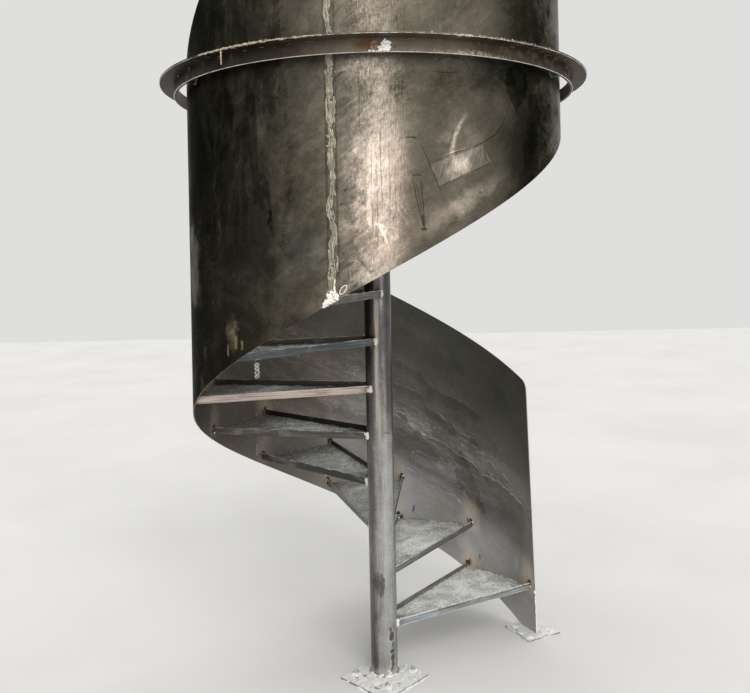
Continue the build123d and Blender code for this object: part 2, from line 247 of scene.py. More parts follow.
# Weld metal, filler and the like: dark, middle and light shade, scale, roughness, metal, dark lines
CRUMBS = {
    "weld_bright": ((0.34, 0.32, 0.28), (0.74, 0.72, 0.67), (0.95, 0.94, 0.9), 150, 0.4, 0.1),
    "weld_clump": ((0.6, 0.585, 0.55), (0.88, 0.87, 0.83), (0.97, 0.965, 0.94), 150, 0.45),
    "weld_dark": ((0.035, 0.032, 0.03), (0.085, 0.078, 0.07), (0.22, 0.2, 0.18), 170, 0.45, 0.55),
    "slag": ((0.004, 0.004, 0.004), (0.01, 0.01, 0.01), (0.04, 0.036, 0.032), 160, 0.35),
    "stitch": ((0.1, 0.095, 0.085), (0.26, 0.25, 0.23), (0.6, 0.58, 0.54), 170, 0.45, 0.45),
    "putty": ((0.135, 0.117, 0.078), (0.265, 0.235, 0.17), (0.47, 0.43, 0.34), 46, 0.5, 0, 0.6),
    "white_filler": ((0.36, 0.32, 0.26), (0.78, 0.75, 0.69), (0.94, 0.925, 0.88), 75, 0.65),
    "cement": ((0.42, 0.42, 0.4), (0.6, 0.595, 0.575), (0.76, 0.755, 0.735), 60, 0.85),
    "crust": ((0.16, 0.125, 0.085), (0.36, 0.3, 0.22), (0.62, 0.55, 0.44), 80, 0.8),
    "heated_plug": ((0.03, 0.02, 0.013), (0.11, 0.06, 0.032), (0.4, 0.29, 0.2), 60, 0.4, 0.4),
    "zinc": ((0.2, 0.2, 0.2), (0.42, 0.42, 0.415), (0.66, 0.66, 0.65), 90, 0.42, 0.8),
    # The dark rim finish below lays painted shadow along the seam putty's edges.
    "seam_shadow_rim": ((0.02, 0.017, 0.012), (0.05, 0.043, 0.031), (0.1, 0.088, 0.066), 90, 0.6),
    # The pale edge finish below paints a highlight along the ring's edges, and along the bars' edges stands
    # partly for wear and partly for a highlight.
    "bare_edge_and_highlight": ((0.3, 0.27, 0.24), (0.6, 0.56, 0.51), (0.85, 0.81, 0.75), 40, 0.35, 0.6),
}

# Tint of each tread's nosing bar and back bar, from the first tread to the landing: partly each bar's own
# colour and partly painted light and shade, which makes the lit bars lighter and the shaded ones darker
NOSING_TINTS = ((0.36, 0.37, 0.375), (0.25, 0.25, 0.243), (0.12, 0.115, 0.11), (0.04, 0.037, 0.034),
    (0.034, 0.032, 0.029), (0.1, 0.092, 0.08), (0.085, 0.078, 0.066), (0.14, 0.14, 0.14), (0.18, 0.16, 0.15),
    (0.14, 0.14, 0.14), (0.12, 0.12, 0.125), (0.16, 0.15, 0.14), (0.14, 0.14, 0.14))
BACK_TINTS = ((0.205, 0.195, 0.18), (0.12, 0.113, 0.107), (0.085, 0.08, 0.075), (0.036, 0.033, 0.028),
    (0.115, 0.107, 0.097), (0.66, 0.54, 0.465), (0.115, 0.13, 0.138), (0.13, 0.12, 0.11), (0.16, 0.155, 0.15),
    (0.13, 0.135, 0.14), (0.19, 0.165, 0.145), (0.14, 0.135, 0.13), (0.14, 0.14, 0.14))


# Materials

class Value:
    """A node's output, which + - * / join to others through further nodes."""

    def __init__(self, finish, socket):
        self.finish, self.socket = finish, socket

    def __add__(self, other):
        return self.finish.math("ADD", self, other)

    def __sub__(self, other):
        return self.finish.math("SUBTRACT", self, other)

    def __rsub__(self, other):
        return self.finish.math("SUBTRACT", other, self)

    def __mul__(self, other):
        return self.finish.math("MULTIPLY", self, other)

    def __truediv__(self, other):
        return self.finish.math("DIVIDE", self, other)


class Finish:
    """A node material, with short calls that add nodes and join them up.

    Places on a rolled surface are given as azimuth and height, and its coordinates are the arc
    from azimuth 0, at the radius that unroll is told, and the height.
    """

    def __init__(self, name):
        self.material = bpy.data.materials.new(name)
        self.material.use_nodes = True
        self.tree = self.material.node_tree
        self.shader = self.tree.nodes["Principled BSDF"]
        self.place, self.normal = (self.node("TexCoord", pick=k) for k in ("Object", "Normal"))
        self.color = self.radius = None

    def node(self, kind, *inputs, pick=0, **settings):
        """Adds a node, fills its inputs and returns the picked output."""
        return Value(self, self.raw(kind, *inputs, **settings).outputs[pick])

    def raw(self, kind, *inputs, **settings):
        node = self.tree.nodes.new("ShaderNode" + kind)
        for key, value in settings.items():
            setattr(node, key, value)
        for socket, value in inputs:
            self.feed(node.inputs[socket], value)
        return node

    def feed(self, socket, value):
        if isinstance(value, Value):
            self.tree.links.new(value.socket, socket)
        elif isinstance(value, tuple) and socket.type == "RGBA":
            socket.default_value = (*value, 1)
        else:
            socket.default_value = value

    def done(self, metal, rough, *bumps, **others):
        """Sets the shader's inputs; a bump is a height, a distance and a strength, coarse first."""
        normal = None
        for height, distance, strength in bumps:
            inputs = [("Strength", strength), ("Distance", distance), ("Height", height)]
            normal = self.node("Bump", *inputs, *([("Normal", normal)] if normal else []))
        inputs = {"base_color": self.color, "metallic": metal, "roughness": rough, "normal": normal, **others}
        for name, value in inputs.items():
            self.feed(self.shader.inputs[name.replace("_", " ").title()], value)
        return self.material

    def paint(self, mask, color, kind="MIX"):
        """Lays a colour over the finish's colour where the mask is 1."""
        self.color = self.mix(mask, self.color, color, kind)

    def math(self, operation, *values):
        return self.node("Math", *enumerate(values), operation=operation)

    def line(self, value, gain, offset):
        """Value times gain, plus offset."""
        return self.math("MULTIPLY_ADD", value, gain, offset)

    def about(self, value, gain):
        """A noise's swing about its middle, times a gain."""
        return self.line(value, gain, -0.5 * gain)

    def max(self, first, *others):
        for value in others:
            first = self.math("MAXIMUM", first, value)
        return first

    def parts(self, vector):
        split = self.raw("SeparateXYZ", (0, vector))
        return [Value(self, socket) for socket in split.outputs]

    def join(self, x, y, z=0):
        return self.node("CombineXYZ", (0, x), (1, y), (2, z))

    def lay(self, at, move=(0, 0, 0), turn=0, scale=(1, 1, 1), kind="POINT"):
        """Coordinates scaled, turned about z and moved, or the reverse of that for kind TEXTURE."""
        return self.node("Mapping", (0, at), (1, move), (2, (0, 0, math.radians(turn))), (3, scale),
            vector_type=kind)

    def grain(self, at, scale, detail=4, rough=0.55, warp=0, stretch=None, turn=0):
        """Noise from 0 to 1 about 0.5; the coordinates may be turned, then squeezed, first."""
        if turn:
            at = self.lay(at, turn=turn)
        if stretch:
            at = self.lay(at, scale=(*stretch, 1))
        return self.node("TexNoise", ("Vector", at), ("Scale", scale), ("Detail", detail),
            ("Roughness", rough), ("Distortion", warp))

    def cells(self, at, scale):
        return self.node("TexVoronoi", ("Vector", at), ("Scale", scale), pick="Distance")

    def span(self, value, low, high, to_low=0, to_high=1, kind="SMOOTHSTEP"):
        return self.node("MapRange", ("Value", value), ("From Min", low), ("From Max", high),
            ("To Min", to_low), ("To Max", to_high), interpolation_type=kind)

    def rust(self, at, scale, low, high):
        return self.span(self.grain(at, scale, 5, 0.7), low, high)

    def near(self, value, level, width):
        """1 where a value is at a level, falling to 0 at a width from it."""
        gap = value - level if level else value
        return self.span(self.math("ABSOLUTE", gap), width, 0)

    def mix(self, amount, a, b, kind="MIX"):
        return self.node("Mix", (0, amount), (6, a), (7, b), pick=2, data_type="RGBA", blend_type=kind)

    def blend(self, amount, a, b):
        return self.node("Mix", (0, amount), (2, a), (3, b))

    def ramp(self, value, *stops, kind="LINEAR"):
        node = self.raw("ValToRGB", (0, value))
        node.color_ramp.interpolation = kind
        elements = node.color_ramp.elements
        while len(elements) < len(stops):
            elements.new(0.5)
        for element, (position, color) in zip(elements, stops):
            element.position = position
            element.color = (*color, 1)
        return Value(self, node.outputs[0])

    def curve(self, value, *points):
        """A smooth curve through points, whose heights are from 0 to 1."""
        low, high = points[0][0], points[-1][0]
        node = self.raw("FloatCurve", ("Value", self.span(value, low, high, kind="LINEAR")))
        line = node.mapping.curves[0]
        while len(line.points) < len(points):
            line.points.new(0.5, 0.5)
        for point, (place, height) in zip(line.points, points):
            point.location = ((place - low) / (high - low), height)
        node.mapping.update()
        return Value(self, node.outputs[0])

    def length(self, vector):
        return self.node("VectorMath", (0, vector), pick="Value", operation="LENGTH")

    def from_axis(self):
        x, y, _ = self.parts(self.place)
        return self.math("SQRT", x * x + y * y)

    def top(self):
        """1 on faces that look up."""
        return self.span(self.parts(self.normal)[2], 0.5, 0.9)

    def unroll(self, radius):
        """Azimuth from 0 to 360, the surface unrolled at a radius, as arc length, and height."""
        self.radius = radius
        x, y, z = self.parts(self.place)
        turn = self.math("WRAP", self.math("ARCTAN2", y, x), math.tau, 0)
        return turn * math.degrees(1), turn * radius, z

    def arc(self, azimuth):
        return math.radians(azimuth) * self.radius

    def spot(self, at, azimuth, height, wide, tall, turn=0, soft=0.6):
        """1 inside an ellipse of the unrolled surface, fading to 0 at its rim."""
        flat = self.lay(at, (self.arc(azimuth), height, 0), turn, (wide, tall, FLAT), kind="TEXTURE")
        return self.span(self.length(flat), 1, 1 - soft)

    def over_line(self, sheet, points, upright=False, fade=0.12):
        """Distance over a drawn line, and masks that rise at its one end and fall at its other.

        An upright line's distance is taken along the surface.
        """
        along, across, _ = self.parts(sheet)
        places = [(self.arc(azimuth), height) for azimuth, height in points]
        if upright:
            along, across, places = across, along, [place[::-1] for place in places]
        low = min(v for _, v in places)
        tall = max(v for _, v in places) - low
        level = self.curve(along, *((u, (v - low) / tall) for u, v in places))
        first, last = places[0][0], places[-1][0]
        fade *= last - first
        begun, going = self.span(along, first, first + fade), self.span(along, last, last - fade)
        return across - self.line(level, tall, low), begun, going

    def stroke(self, sheet, width, upright, points):
        """A drawn line, soft at its ends."""
        over, begun, going = self.over_line(sheet, points, upright)
        return self.near(over, 0, width) * begun * going

    def shake(self, at, scale, reach, detail=5, rough=0.62):
        """Coordinates pushed about by noise, which makes what they carry ragged."""
        push = self.node("TexNoise", ("Vector", at), ("Scale", scale), ("Detail", detail),
            ("Roughness", rough), pick=1)
        push = self.lay(push, move=(-reach,) * 3, scale=(2 * reach,) * 3)
        return self.node("VectorMath", (0, at), (1, push), operation="ADD")

    def panel(self, sheet, soft, *corners):
        """1 inside a patch of the unrolled surface, its corners given anticlockwise."""
        along, z, _ = self.parts(sheet)
        corners = [(self.arc(azimuth), height) for azimuth, height in corners]
        inside = None
        for (u, v), (u2, v2) in zip(corners, corners[1:] + corners[:1]):
            length = math.hypot(u2 - u, v2 - v)
            a, b = -(v2 - v) / length, (u2 - u) / length
            here = self.span(self.line(along, a, self.line(z, b, -a * u - b * v)), 0, soft)
            inside = inside * here if inside else here
        return inside


def lattice(f, azimuth, z, spread):
    """Distance to the tread bars' ends on the wall or the pole, for burns round the welds.

    The bars' ends climb in two rows, one for nosings and one for backs. The distance counts
    less upwards, where a flame licks, than down or across.
    """
    rows = []
    for shift, drop in ((-spread, 0), (spread, RISER + 0.006)):
        turns = (azimuth - (FIRST_NOSING + shift)) * (1 / TURN)
        number = f.math("FLOOR", turns + 0.5)
        across = (turns - number) * f.arc(TURN)
        height = z - f.line(number, RISER, FIRST_TOP - BAR / 2 - drop)
        height = f.max(height * 0.45, height * -1.2)
        rows.append(f.length(f.join(across, height)))
    return f.math("MINIMUM", *rows)


def wall_finish(name, front=None, detailed_inside=False):
    """Hot-rolled sheet: mill scale, soot, rubbed and ground places, burns round the welds, with painted light
    and shade: a highlight band and a dark reflection outside, shadow by the seam putty, and shade behind the
    treads inside.

    The sheets left and right of the front seam show their outside to the camera, each its own marks.
    """
    f = Finish(name)
    azimuth, along, z = f.unroll(OUTSIDE)
    (x, y, _), (nx, ny, _) = f.parts(f.place), f.parts(f.normal)
    facing = (nx * x + ny * y) / f.from_axis()
    outer = f.math("GREATER_THAN", facing, 0)
    cut = f.span(f.math("ABSOLUTE", facing), 0.75, 0.55)
    # The faces' places lie apart, so that each has its own noise
    sheet = f.join(along, z, outer * 3)
    climb = math.degrees(math.atan2(CLIMB, math.radians(1) * OUTSIDE))
    slanted = f.lay(sheet, turn=-climb)

    cloud = f.grain(sheet, 3.4, 6, 0.62, 0.7)
    smear = f.grain(sheet, 1, 6, 0.62, 0.6, stretch=(4, 17), turn=-38)
    mottle = f.grain(sheet, 15, 8, 0.72, 0.9)
    smudge = f.grain(sheet, 5, 9, 0.58, 1)
    fine = f.grain(sheet, 170, 3, 0.7)
    ragged = f.shake(f.shake(sheet, 11, 0.045), 48, 0.014)
    stain = f.span(smudge, 0.5, 0.516) + f.span(smudge, 0.59, 0.602) + f.span(smudge, 0.42, 0.434)
    rim = f.near(smudge, 0.508, 0.01) + f.near(smudge, 0.597, 0.008)

    # Outer face: olive dark to the left of the front, partly the sheet's own tone and partly a painted dark
    # reflection; bright right of the front seam, partly rubbed metal and partly a painted highlight where the
    # light's reflection lies
    swung = azimuth + f.about(mottle, 13)
    tone = f.curve(swung if front else azimuth, (0, 0.42), (60, 0.4), (120, 0.42), (165, 0.36), (190, 0.23),
        (212, 0.165), (232, 0.17), (241, 0.22), (248, 0.33), (256, 0.42), (259, 0.47), (264, 0.57),
        (267, 0.68), (270, 0.72), (275, 0.63), (279.5, 0.42), (285, 0.37), (293, 0.43), (301, 0.38),
        (308, 0.26), (316, 0.18), (324, 0.26), (345, 0.4), (360, 0.42))
    tone = (tone + f.about(cloud, 0.26) + f.about(smear, 0.12) + f.about(mottle, 0.22)
        + f.line(stain, 0.03, -0.045) + rim * 0.022)
    if front == "left":
        runs = f.grain(sheet, 1, 7, 0.58, 0.5, stretch=(15, 3.6))
        dark_side = f.span(swung, 252, 243) * f.span(z, 1.7, 2)
        tone = tone - f.span(runs, 0.5, 0.52) * dark_side * 0.1
        tone = f.line(f.near(runs, 0.535, 0.016) * dark_side, 0.035, tone)
        combed = f.grain(sheet, 1, 6, 0.66, 0.5, stretch=(14, 46), turn=-36)
        tone += f.about(combed, 0.16) * f.span(azimuth, 238, 250)
    if front == "right":
        # Diagonal wipes beside the seam, wrinkled smears and scratches in the bright band
        beside = f.span(azimuth, 258.5, 260) * f.span(swung, 272, 263)
        wipes = f.grain(sheet, 1, 7, 0.68, 0.7, stretch=(15, 44), turn=-36)
        tone += f.about(wipes, 0.6) * beside
        nicks = f.grain(sheet, 1, 5, 0.62, 0.5, stretch=(48, 150), turn=-33)
        rows = f.max(f.near(z, 2, 0.13), f.near(z, 1.775, 0.06) * 0.9)
        tone = tone - f.span(nicks, 0.585, 0.66) * beside * rows * 0.42
        # The bright band is partly rubbed metal with its scratches and smears, and partly a painted
        # highlight, which is lifted at mid height and lowered near its top.
        band = f.span(swung, 261, 267) * f.span(swung, 281, 275)
        lines = f.grain(sheet, 1, 4, 0.7, 0.15, stretch=(110, 5))
        patchy = f.span(f.grain(sheet, 8, 3, 0.6, 0.5), 0.42, 0.6)
        curl = f.grain(sheet, 24, 5, 0.66, 2.2)
        wrinkle = f.near(curl, 0.54, 0.055) - f.near(curl, 0.42, 0.05) * 0.9
        tone = (tone + f.about(lines, 0.34) * band * f.line(patchy, 0.8, 0.2) + f.span(lines, 0.62, 0.7)
            * band * -0.15 + f.about(mottle, 0.24) * band + f.about(wipes, 0.42) * band + wrinkle * patchy
            * f.max(band, beside * 0.6) * 0.09 + band * f.near(z, 2.04, 0.26) * 0.09 + band
            * f.span(z, 2.14, 2.36) * -0.13)
        hatch = f.grain(sheet, 1, 4, 0.72, 0.15, stretch=(230, 34))
        pitted = f.grain(sheet, 95, 4, 0.76)
        tone = (tone + f.about(hatch, 0.62) * band + f.about(pitted, 0.3) * band + f.span(pitted, 0.63, 0.7)
            * f.max(band, beside) * -0.16)
        strip = f.panel(f.shake(sheet, 40, 0.004), 0.012, (267.3, 1.898), (269, 1.86),
            (270.6, 2.12), (269.6, 2.3), (267.8, 2.2))
        wedge = f.panel(sheet, 0.006, (269.4, 1.9), (273.9, 1.782), (271.6, 1.895))
        tone = tone + strip * f.span(z, 2.3, 1.95) * 0.17 + wedge * 0.2
        # A ground rectangle, its brush marks upright, lighter partly as ground metal and partly as a painted
        # reflection, with a painted shine in its middle and a painted curved glint above it
        patch = f.panel(sheet, 0.004, (283.4, 2.089), (285.7, 2.012), (301.2, 2.102),
            (298.4, 2.16))
        brush = f.grain(sheet, 1, 4, 0.66, 0.2, stretch=(190, 12), turn=16)
        speckle = f.span(f.grain(sheet, 120, 3, 0.75), 0.55, 0.68)
        shine = f.spot(ragged, 290.8, 2.1, 0.075, 0.085, 30, 0.9)
        tone = (tone + patch * f.line(brush, 0.54, -0.15) + speckle * shine * 0.26 + patch
            * f.span(azimuth, 290, 284) * -0.05)
        grit = f.grain(sheet, 75, 5, 0.74)
        glint = f.stroke(sheet, 0.014, True, ((289.2, 2.105), (289.9, 2.16), (290.9, 2.2), (292.3, 2.235),
            (294.6, 2.275)))
        tone += glint * f.span(grit, 0.36, 0.62, 0.1, 0.44) * f.span(z, 2.29, 2.2)
        lip = f.spot(sheet, 295, 1.965, 0.2, 0.04, 33, 0.7)
        tone = tone + f.span(grit, 0.56, 0.66) * lip * -0.24 + f.span(grit, 0.44, 0.34) * lip * 0.16
        rest = f.span(azimuth, 279, 282) * f.span(azimuth, 330, 322)
        tone += f.about(wipes, 0.13) * rest
    if front:
        def mine(az):
            return (az < SEAMS[1]) == (front == "left")

        wavering = f.shake(sheet, 28, 0.0045)
        for az, *place, gain in FRONT_PLACES:
            if mine(az):
                tone = f.line(f.spot(ragged, az, *place), gain, tone)
        for width, gain, upright, *points in SCORES:
            if mine(points[0][0]):
                tone = f.line(f.stroke(wavering, width, upright, points), gain, tone)
        # Painted shadow: two dark lines along the seam putty's edges.
        edge = f.near(azimuth, 258, 0.5) + f.near(azimuth, 260.5, 0.5)
        tone = f.line(edge * f.span(cloud, 0.3, 0.6), -0.14, tone)
    medium = f.grain(sheet, 62, 4, 0.72)
    outer_tone = tone + f.about(fine, 0.16) + f.about(medium, 0.11)
    outer_color = f.ramp(outer_tone, (0, (0.008, 0.008, 0.0055)), (0.2, (0.03, 0.0285, 0.02)),
        (0.4, (0.088, 0.078, 0.06)), (0.6, (0.195, 0.167, 0.138)), (0.8, (0.37, 0.315, 0.265)),
        (1, (0.64, 0.55, 0.47)))
    hue = f.span(f.grain(sheet, 4.6, 6, 0.6, 0.8), 0.44, 0.58)
    outer_color = f.mix(0.45, outer_color, f.mix(hue, (0.96, 1, 0.97), (1.07, 0.985, 0.93)), "MULTIPLY")

    # Inner face: grey-brown, with tide marks along the sheet and a darker upper border
    over_edge = z - f.line(azimuth, CLIMB, -CLIMB * LIFT)
    shade = f.curve(over_edge, (0, 0.82), (0.15, 0.8), (0.3, 0.73), (0.42, 0.61), (0.6, 0.57), (0.75, 0.46),
        (0.9, 0.36), (1.1, 0.35), (1.6, 0.38))
    # Darker from 90° on, and darker again from 150° on: partly the sheet's own darker brown and partly
    # painted shade where the treads shade the wall.
    shade = (shade + f.about(cloud, 0.22) + f.about(smear, 0.06) + f.about(mottle, 0.12)
        + f.span(azimuth, 90, 140, 0, -0.21) + f.span(azimuth, 150, 195, 0, -0.2))
    if detailed_inside:
        tide = f.grain(f.shake(slanted, 26, 0.01), 1, 5, 0.54, 0.35, stretch=(2.1, 8))
        ridge = f.max(*(f.near(tide, level, 0.0105) * strength
            for level, strength in ((0.44, 0.8), (0.492, 1), (0.548, 1), (0.6, 0.8))))
        broken = f.span(f.grain(slanted, 1, 6, 0.62, 0.4, stretch=(9, 30)), 0.42, 0.56)
        zone = f.curve(over_edge, (0, 0.06), (0.14, 0.1), (0.24, 0.28), (0.36, 0.5), (0.46, 0.85), (0.6, 1),
            (0.74, 0.85), (0.84, 0.25), (1.2, 0.15))
        zone = zone * f.span(azimuth, 75, 120, 1, 0.85) * f.span(azimuth, 30, 56, 0.35, 1)
        flat = f.span(tide, 0.486, 0.491) + f.span(tide, 0.542, 0.547) + f.span(tide, 0.594, 0.599)
        shade = (shade + ridge * zone * f.line(broken, 0.13, 0.03) + f.line(flat, 0.055, -0.07) * zone
            + f.about(broken, 0.055) * zone)
    if name == "wall_sheet_lower":
        puddle = f.panel(f.shake(sheet, 9, 0.085, 9), 0.006, (48.6, 0.477), (54, 0.52),
            (60, 0.63), (64.1, 0.73), (58, 0.8), (53.4, 0.705), (49.7, 0.611),
            (47.7, 0.51))
        shade = shade + puddle * -0.11 + f.near(puddle, 0.5, 0.45) * 0.09
        lapped = f.shake(f.shake(sheet, 13, 0.03, 6), 55, 0.007)
        for glow, dark, deep, *points in TIDE_LINES:
            over, begun, going = f.over_line(lapped, points, fade=0.1)
            along_line = begun * going
            under = f.span(over, 0.001, -0.003) * f.span(over, -deep, -deep / 2) * along_line
            shade = f.line(under, dark, shade)
            echo = f.near(f.line(mottle, 0.05, over), 0.05, 0.0035)
            line = f.max(f.near(over, 0, 0.0046), echo * 0.45)
            shade += line * along_line * f.span(broken, 0, 0.6, 0.45, 1) * glow
        for *place, gain in INSIDE_MARKS:
            shade = f.line(f.spot(sheet, *place, 0.5), gain, shade)
    inner_tone = shade + f.about(fine, 0.17) + f.about(medium, 0.1)
    inner_color = f.ramp(inner_tone, (0, (0.008, 0.008, 0.007)), (0.25, (0.046, 0.043, 0.036)),
        (0.5, (0.135, 0.125, 0.113)), (0.75, (0.3, 0.288, 0.275)), (1, (0.54, 0.525, 0.505)))
    green = f.span(over_edge, 0.82, 1)
    inner_color = f.mix(green, inner_color, (0.95, 1.01, 0.93), "MULTIPLY")
    cool = f.span(over_edge, 0.55, 0.3) * f.span(cloud, 0.4, 0.55)
    inner_color = f.mix(cool * 0.6, inner_color, (0.93, 0.94, 1.05), "MULTIPLY")
    warm = f.span(azimuth, 85, 125)
    inner_color = f.mix(warm, inner_color, (1.06, 0.98, 0.86), "MULTIPLY")

    # Burns round the bars' welds: a pale scorched flare, soot close in
    distance = lattice(f, azimuth, z, 0)
    licks = f.grain(sheet, 1, 5, 0.6, 0.3, stretch=(60, 16))
    burnt = distance + f.about(licks, 0.06)
    welded = f.span(z, 0.1, 0.14)
    halo = f.span(burnt, 0.078, 0.012) * f.blend(outer, 0.8, 0.03) * welded * f.span(azimuth, 60, 78, 1, 0.45)
    soot = f.span(burnt, 0.01, 0.002) * f.blend(outer, 0.9, 0.1) * welded
    if name == "wall_sheet_lower":
        flare = f.spot(sheet, 33.2, 0.285, 0.02, 0.055, 0, 0.9)
        halo = f.max(halo, flare * f.span(licks, 0.3, 0.6) * 0.55)
    f.color = f.mix(outer, inner_color, outer_color)
    if front == "left":
        cool_place = f.spot(ragged, 251, 1.8, 0.1, 0.11, 0, 0.9) * outer
        f.paint(cool_place, (0.92, 1, 1.1), "MULTIPLY")
        drip = f.spot(ragged, 228.2, 1.51, 0.036, 0.085, 4, 0.9) * 0.66
        drip = f.max(drip, *(f.stroke(wavering, width, True, points) for width, *points in DRIPS))
        drip = drip * f.span(f.grain(sheet, 60, 4, 0.66), 0.36, 0.56, 0.35, 1) * outer
        f.paint(drip * 0.6, (0.42, 0.34, 0.21))
    f.paint(halo, f.ramp(burnt, (0, (0.32, 0.2, 0.11)), (0.014, (0.6, 0.49, 0.37)),
        (0.05, (0.52, 0.46, 0.39))))
    f.paint(soot, (0.012, 0.011, 0.01))
    rust = f.rust(sheet, 38, 0.6, 0.75)
    f.paint(rust * 0.2, (0.13, 0.07, 0.035))
    f.paint(cut, f.mix(f.span(fine, 0.35, 0.7), (0.2, 0.165, 0.135), (0.38, 0.34, 0.3)))

    dull = f.max(halo, rust * 0.5)
    metal = f.blend(outer, 0.55, 0.95 - dull * 0.4)
    rough = (f.about(fine, 0.1) + f.about(mottle, 0.18) + f.blend(outer, 0.46,
        f.span(outer_tone, 0.3, 0.8, 0.44, 0.34)) + dull * 0.15)
    tint = f.mix(f.span(outer_tone, 0.15, 0.5), (0.25, 0.25, 0.25), (1, 1, 1))
    return f.done(metal, rough, (f.grain(sheet, 3.2, 2, 0.5, 0.3), 0.012, 0.5),
        (smear + mottle * 0.5 + fine * 0.25, 0.0014, 0.7), specular_tint=f.mix(outer, (1, 1, 1), tint))


def pole_finish():
    """Drawn pipe: blue-grey scale, lighter low down and to the right by a painted reflection, darker on its
    left by a painted dark reflection, painted highlights up it, burns at the welds, a rust line.
    """
    f = Finish("pole")
    azimuth, along, z = f.unroll(POLE)
    pipe = f.join(along, z)
    long = f.grain(pipe, 1, 5, 0.6, 0.3, stretch=(45, 3))
    cloud = f.grain(pipe, 9, 5, 0.65, 0.6)
    fine = f.grain(pipe, 260, 3, 0.7)
    low = f.span(z, 1.45, 0.75)
    # Lighter low down: a painted reflection of the floor and the daylight.
    tone = f.line(low, 0.21, 0.36)
    tone = tone + f.about(long, 0.42) + f.about(cloud, 0.42)
    # Darker on its left side: a painted dark reflection.
    side = f.span(azimuth, 256, 226) * f.span(azimuth, 150, 200)
    tone = f.line(side, -0.25, tone)
    # Lighter still low down towards the right: a painted reflection of the side light.
    painted_sheen = f.near(azimuth, 292, 30) * low
    high = f.span(z, 0.95, 1.25)
    # A painted highlight streak up the upper pole, at 258°.
    glare = f.near(azimuth, 258, 8) * high * f.span(long, 0.25, 0.55)
    speckled = f.grain(pipe, 120, 4, 0.74)
    streaks = f.grain(pipe, 1, 4, 0.66, 0.1, stretch=(190, 9))
    # Added in: the painted reflection and highlight, speckle and streaks, and painted shade on the right up
    # high.
    tone = (tone + painted_sheen * 0.1 + glare * 0.28 + f.about(speckled, 0.3) + f.about(streaks, 0.34)
        + f.span(azimuth, 292, 312) * high * -0.15)
    f.color = f.ramp(tone, (0.05, (0.03, 0.028, 0.03)), (0.35, (0.115, 0.106, 0.104)),
        (0.6, (0.33, 0.33, 0.325)), (0.95, (0.6, 0.61, 0.61)))
    # A warm painted highlight strip up the pole from about 1 m.
    warm = f.near(azimuth, 266, 14) * f.span(z, 0.85, 1.05)
    f.paint(warm * f.span(long, 0.35, 0.6) * 0.7, (0.46, 0.37, 0.3))
    distance = lattice(f, azimuth, z, SPREAD)
    ragged = distance + f.about(cloud, 0.05)
    burn = f.span(ragged, 0.05, 0.015)
    f.paint(burn * 0.6, (0.1, 0.07, 0.055))
    f.paint(f.span(ragged, 0.018, 0.008), (0.014, 0.013, 0.013))
    wobbly = f.shake(pipe, 40, 0.01, 4, 0.5)
    patch = f.max(f.spot(wobbly, 238, 0.415, 0.023, 0.04, -10, 0.2),
        f.spot(wobbly, 262, 0.395, 0.017, 0.06, -4, 0.2))
    f.paint(patch * 0.85, f.mix(f.span(cloud + f.about(streaks, 1.2), 0.36, 0.62), (0.045, 0.034, 0.032),
        (0.2, 0.165, 0.155)))
    halo = f.spot(wobbly, 306, 0.176, 0.026, 0.038, 0, 0.5)
    f.paint(halo * 0.45, (0.56, 0.56, 0.555))
    marks = f.max(*(f.spot(wobbly, *mark, 0, 0.3) for mark in POLE_MARKS))
    f.paint(marks * 0.85, (0.06, 0.036, 0.028))
    scratch = f.spot(pipe, 303, 1.037, 0.022, 0.0022, -14, 0.5)
    f.paint(scratch, (0.03, 0.028, 0.028))
    foot = f.span(z, 0.06, 0.015) * f.span(cloud, 0.35, 0.55)
    f.paint(foot * 0.6, (0.52, 0.45, 0.37))
    rust = f.rust(pipe, 70, 0.62, 0.74)
    f.paint(rust * 0.3, (0.13, 0.07, 0.04))
    dust = f.span(f.grain(pipe, 190, 3, 0.6), 0.58, 0.72)
    f.paint(dust * f.line(low, 0.2, 0.12), (0.6, 0.59, 0.57))
    dull = f.max(burn, patch, foot)
    rough = f.about(fine, 0.12) + f.blend(dull, 0.34, 0.5)
    metal = f.blend(dull, 0.75, 0.25)
    return f.done(metal, rough, (long + marks * -0.8, 0.0012, 0.5), (fine, 0.0003, 0.6))


def tread_place(f, z, azimuth):
    """Which tread a point is on, from 0, and how far it is turned from that tread's nosing."""
    index = f.math("FLOOR", f.line(z, 1 / RISER, -TREAD_ZONE / RISER))
    turned = azimuth - f.line(index, TURN, FIRST_NOSING)
    return index, f.math("WRAP", turned, 180, -180)


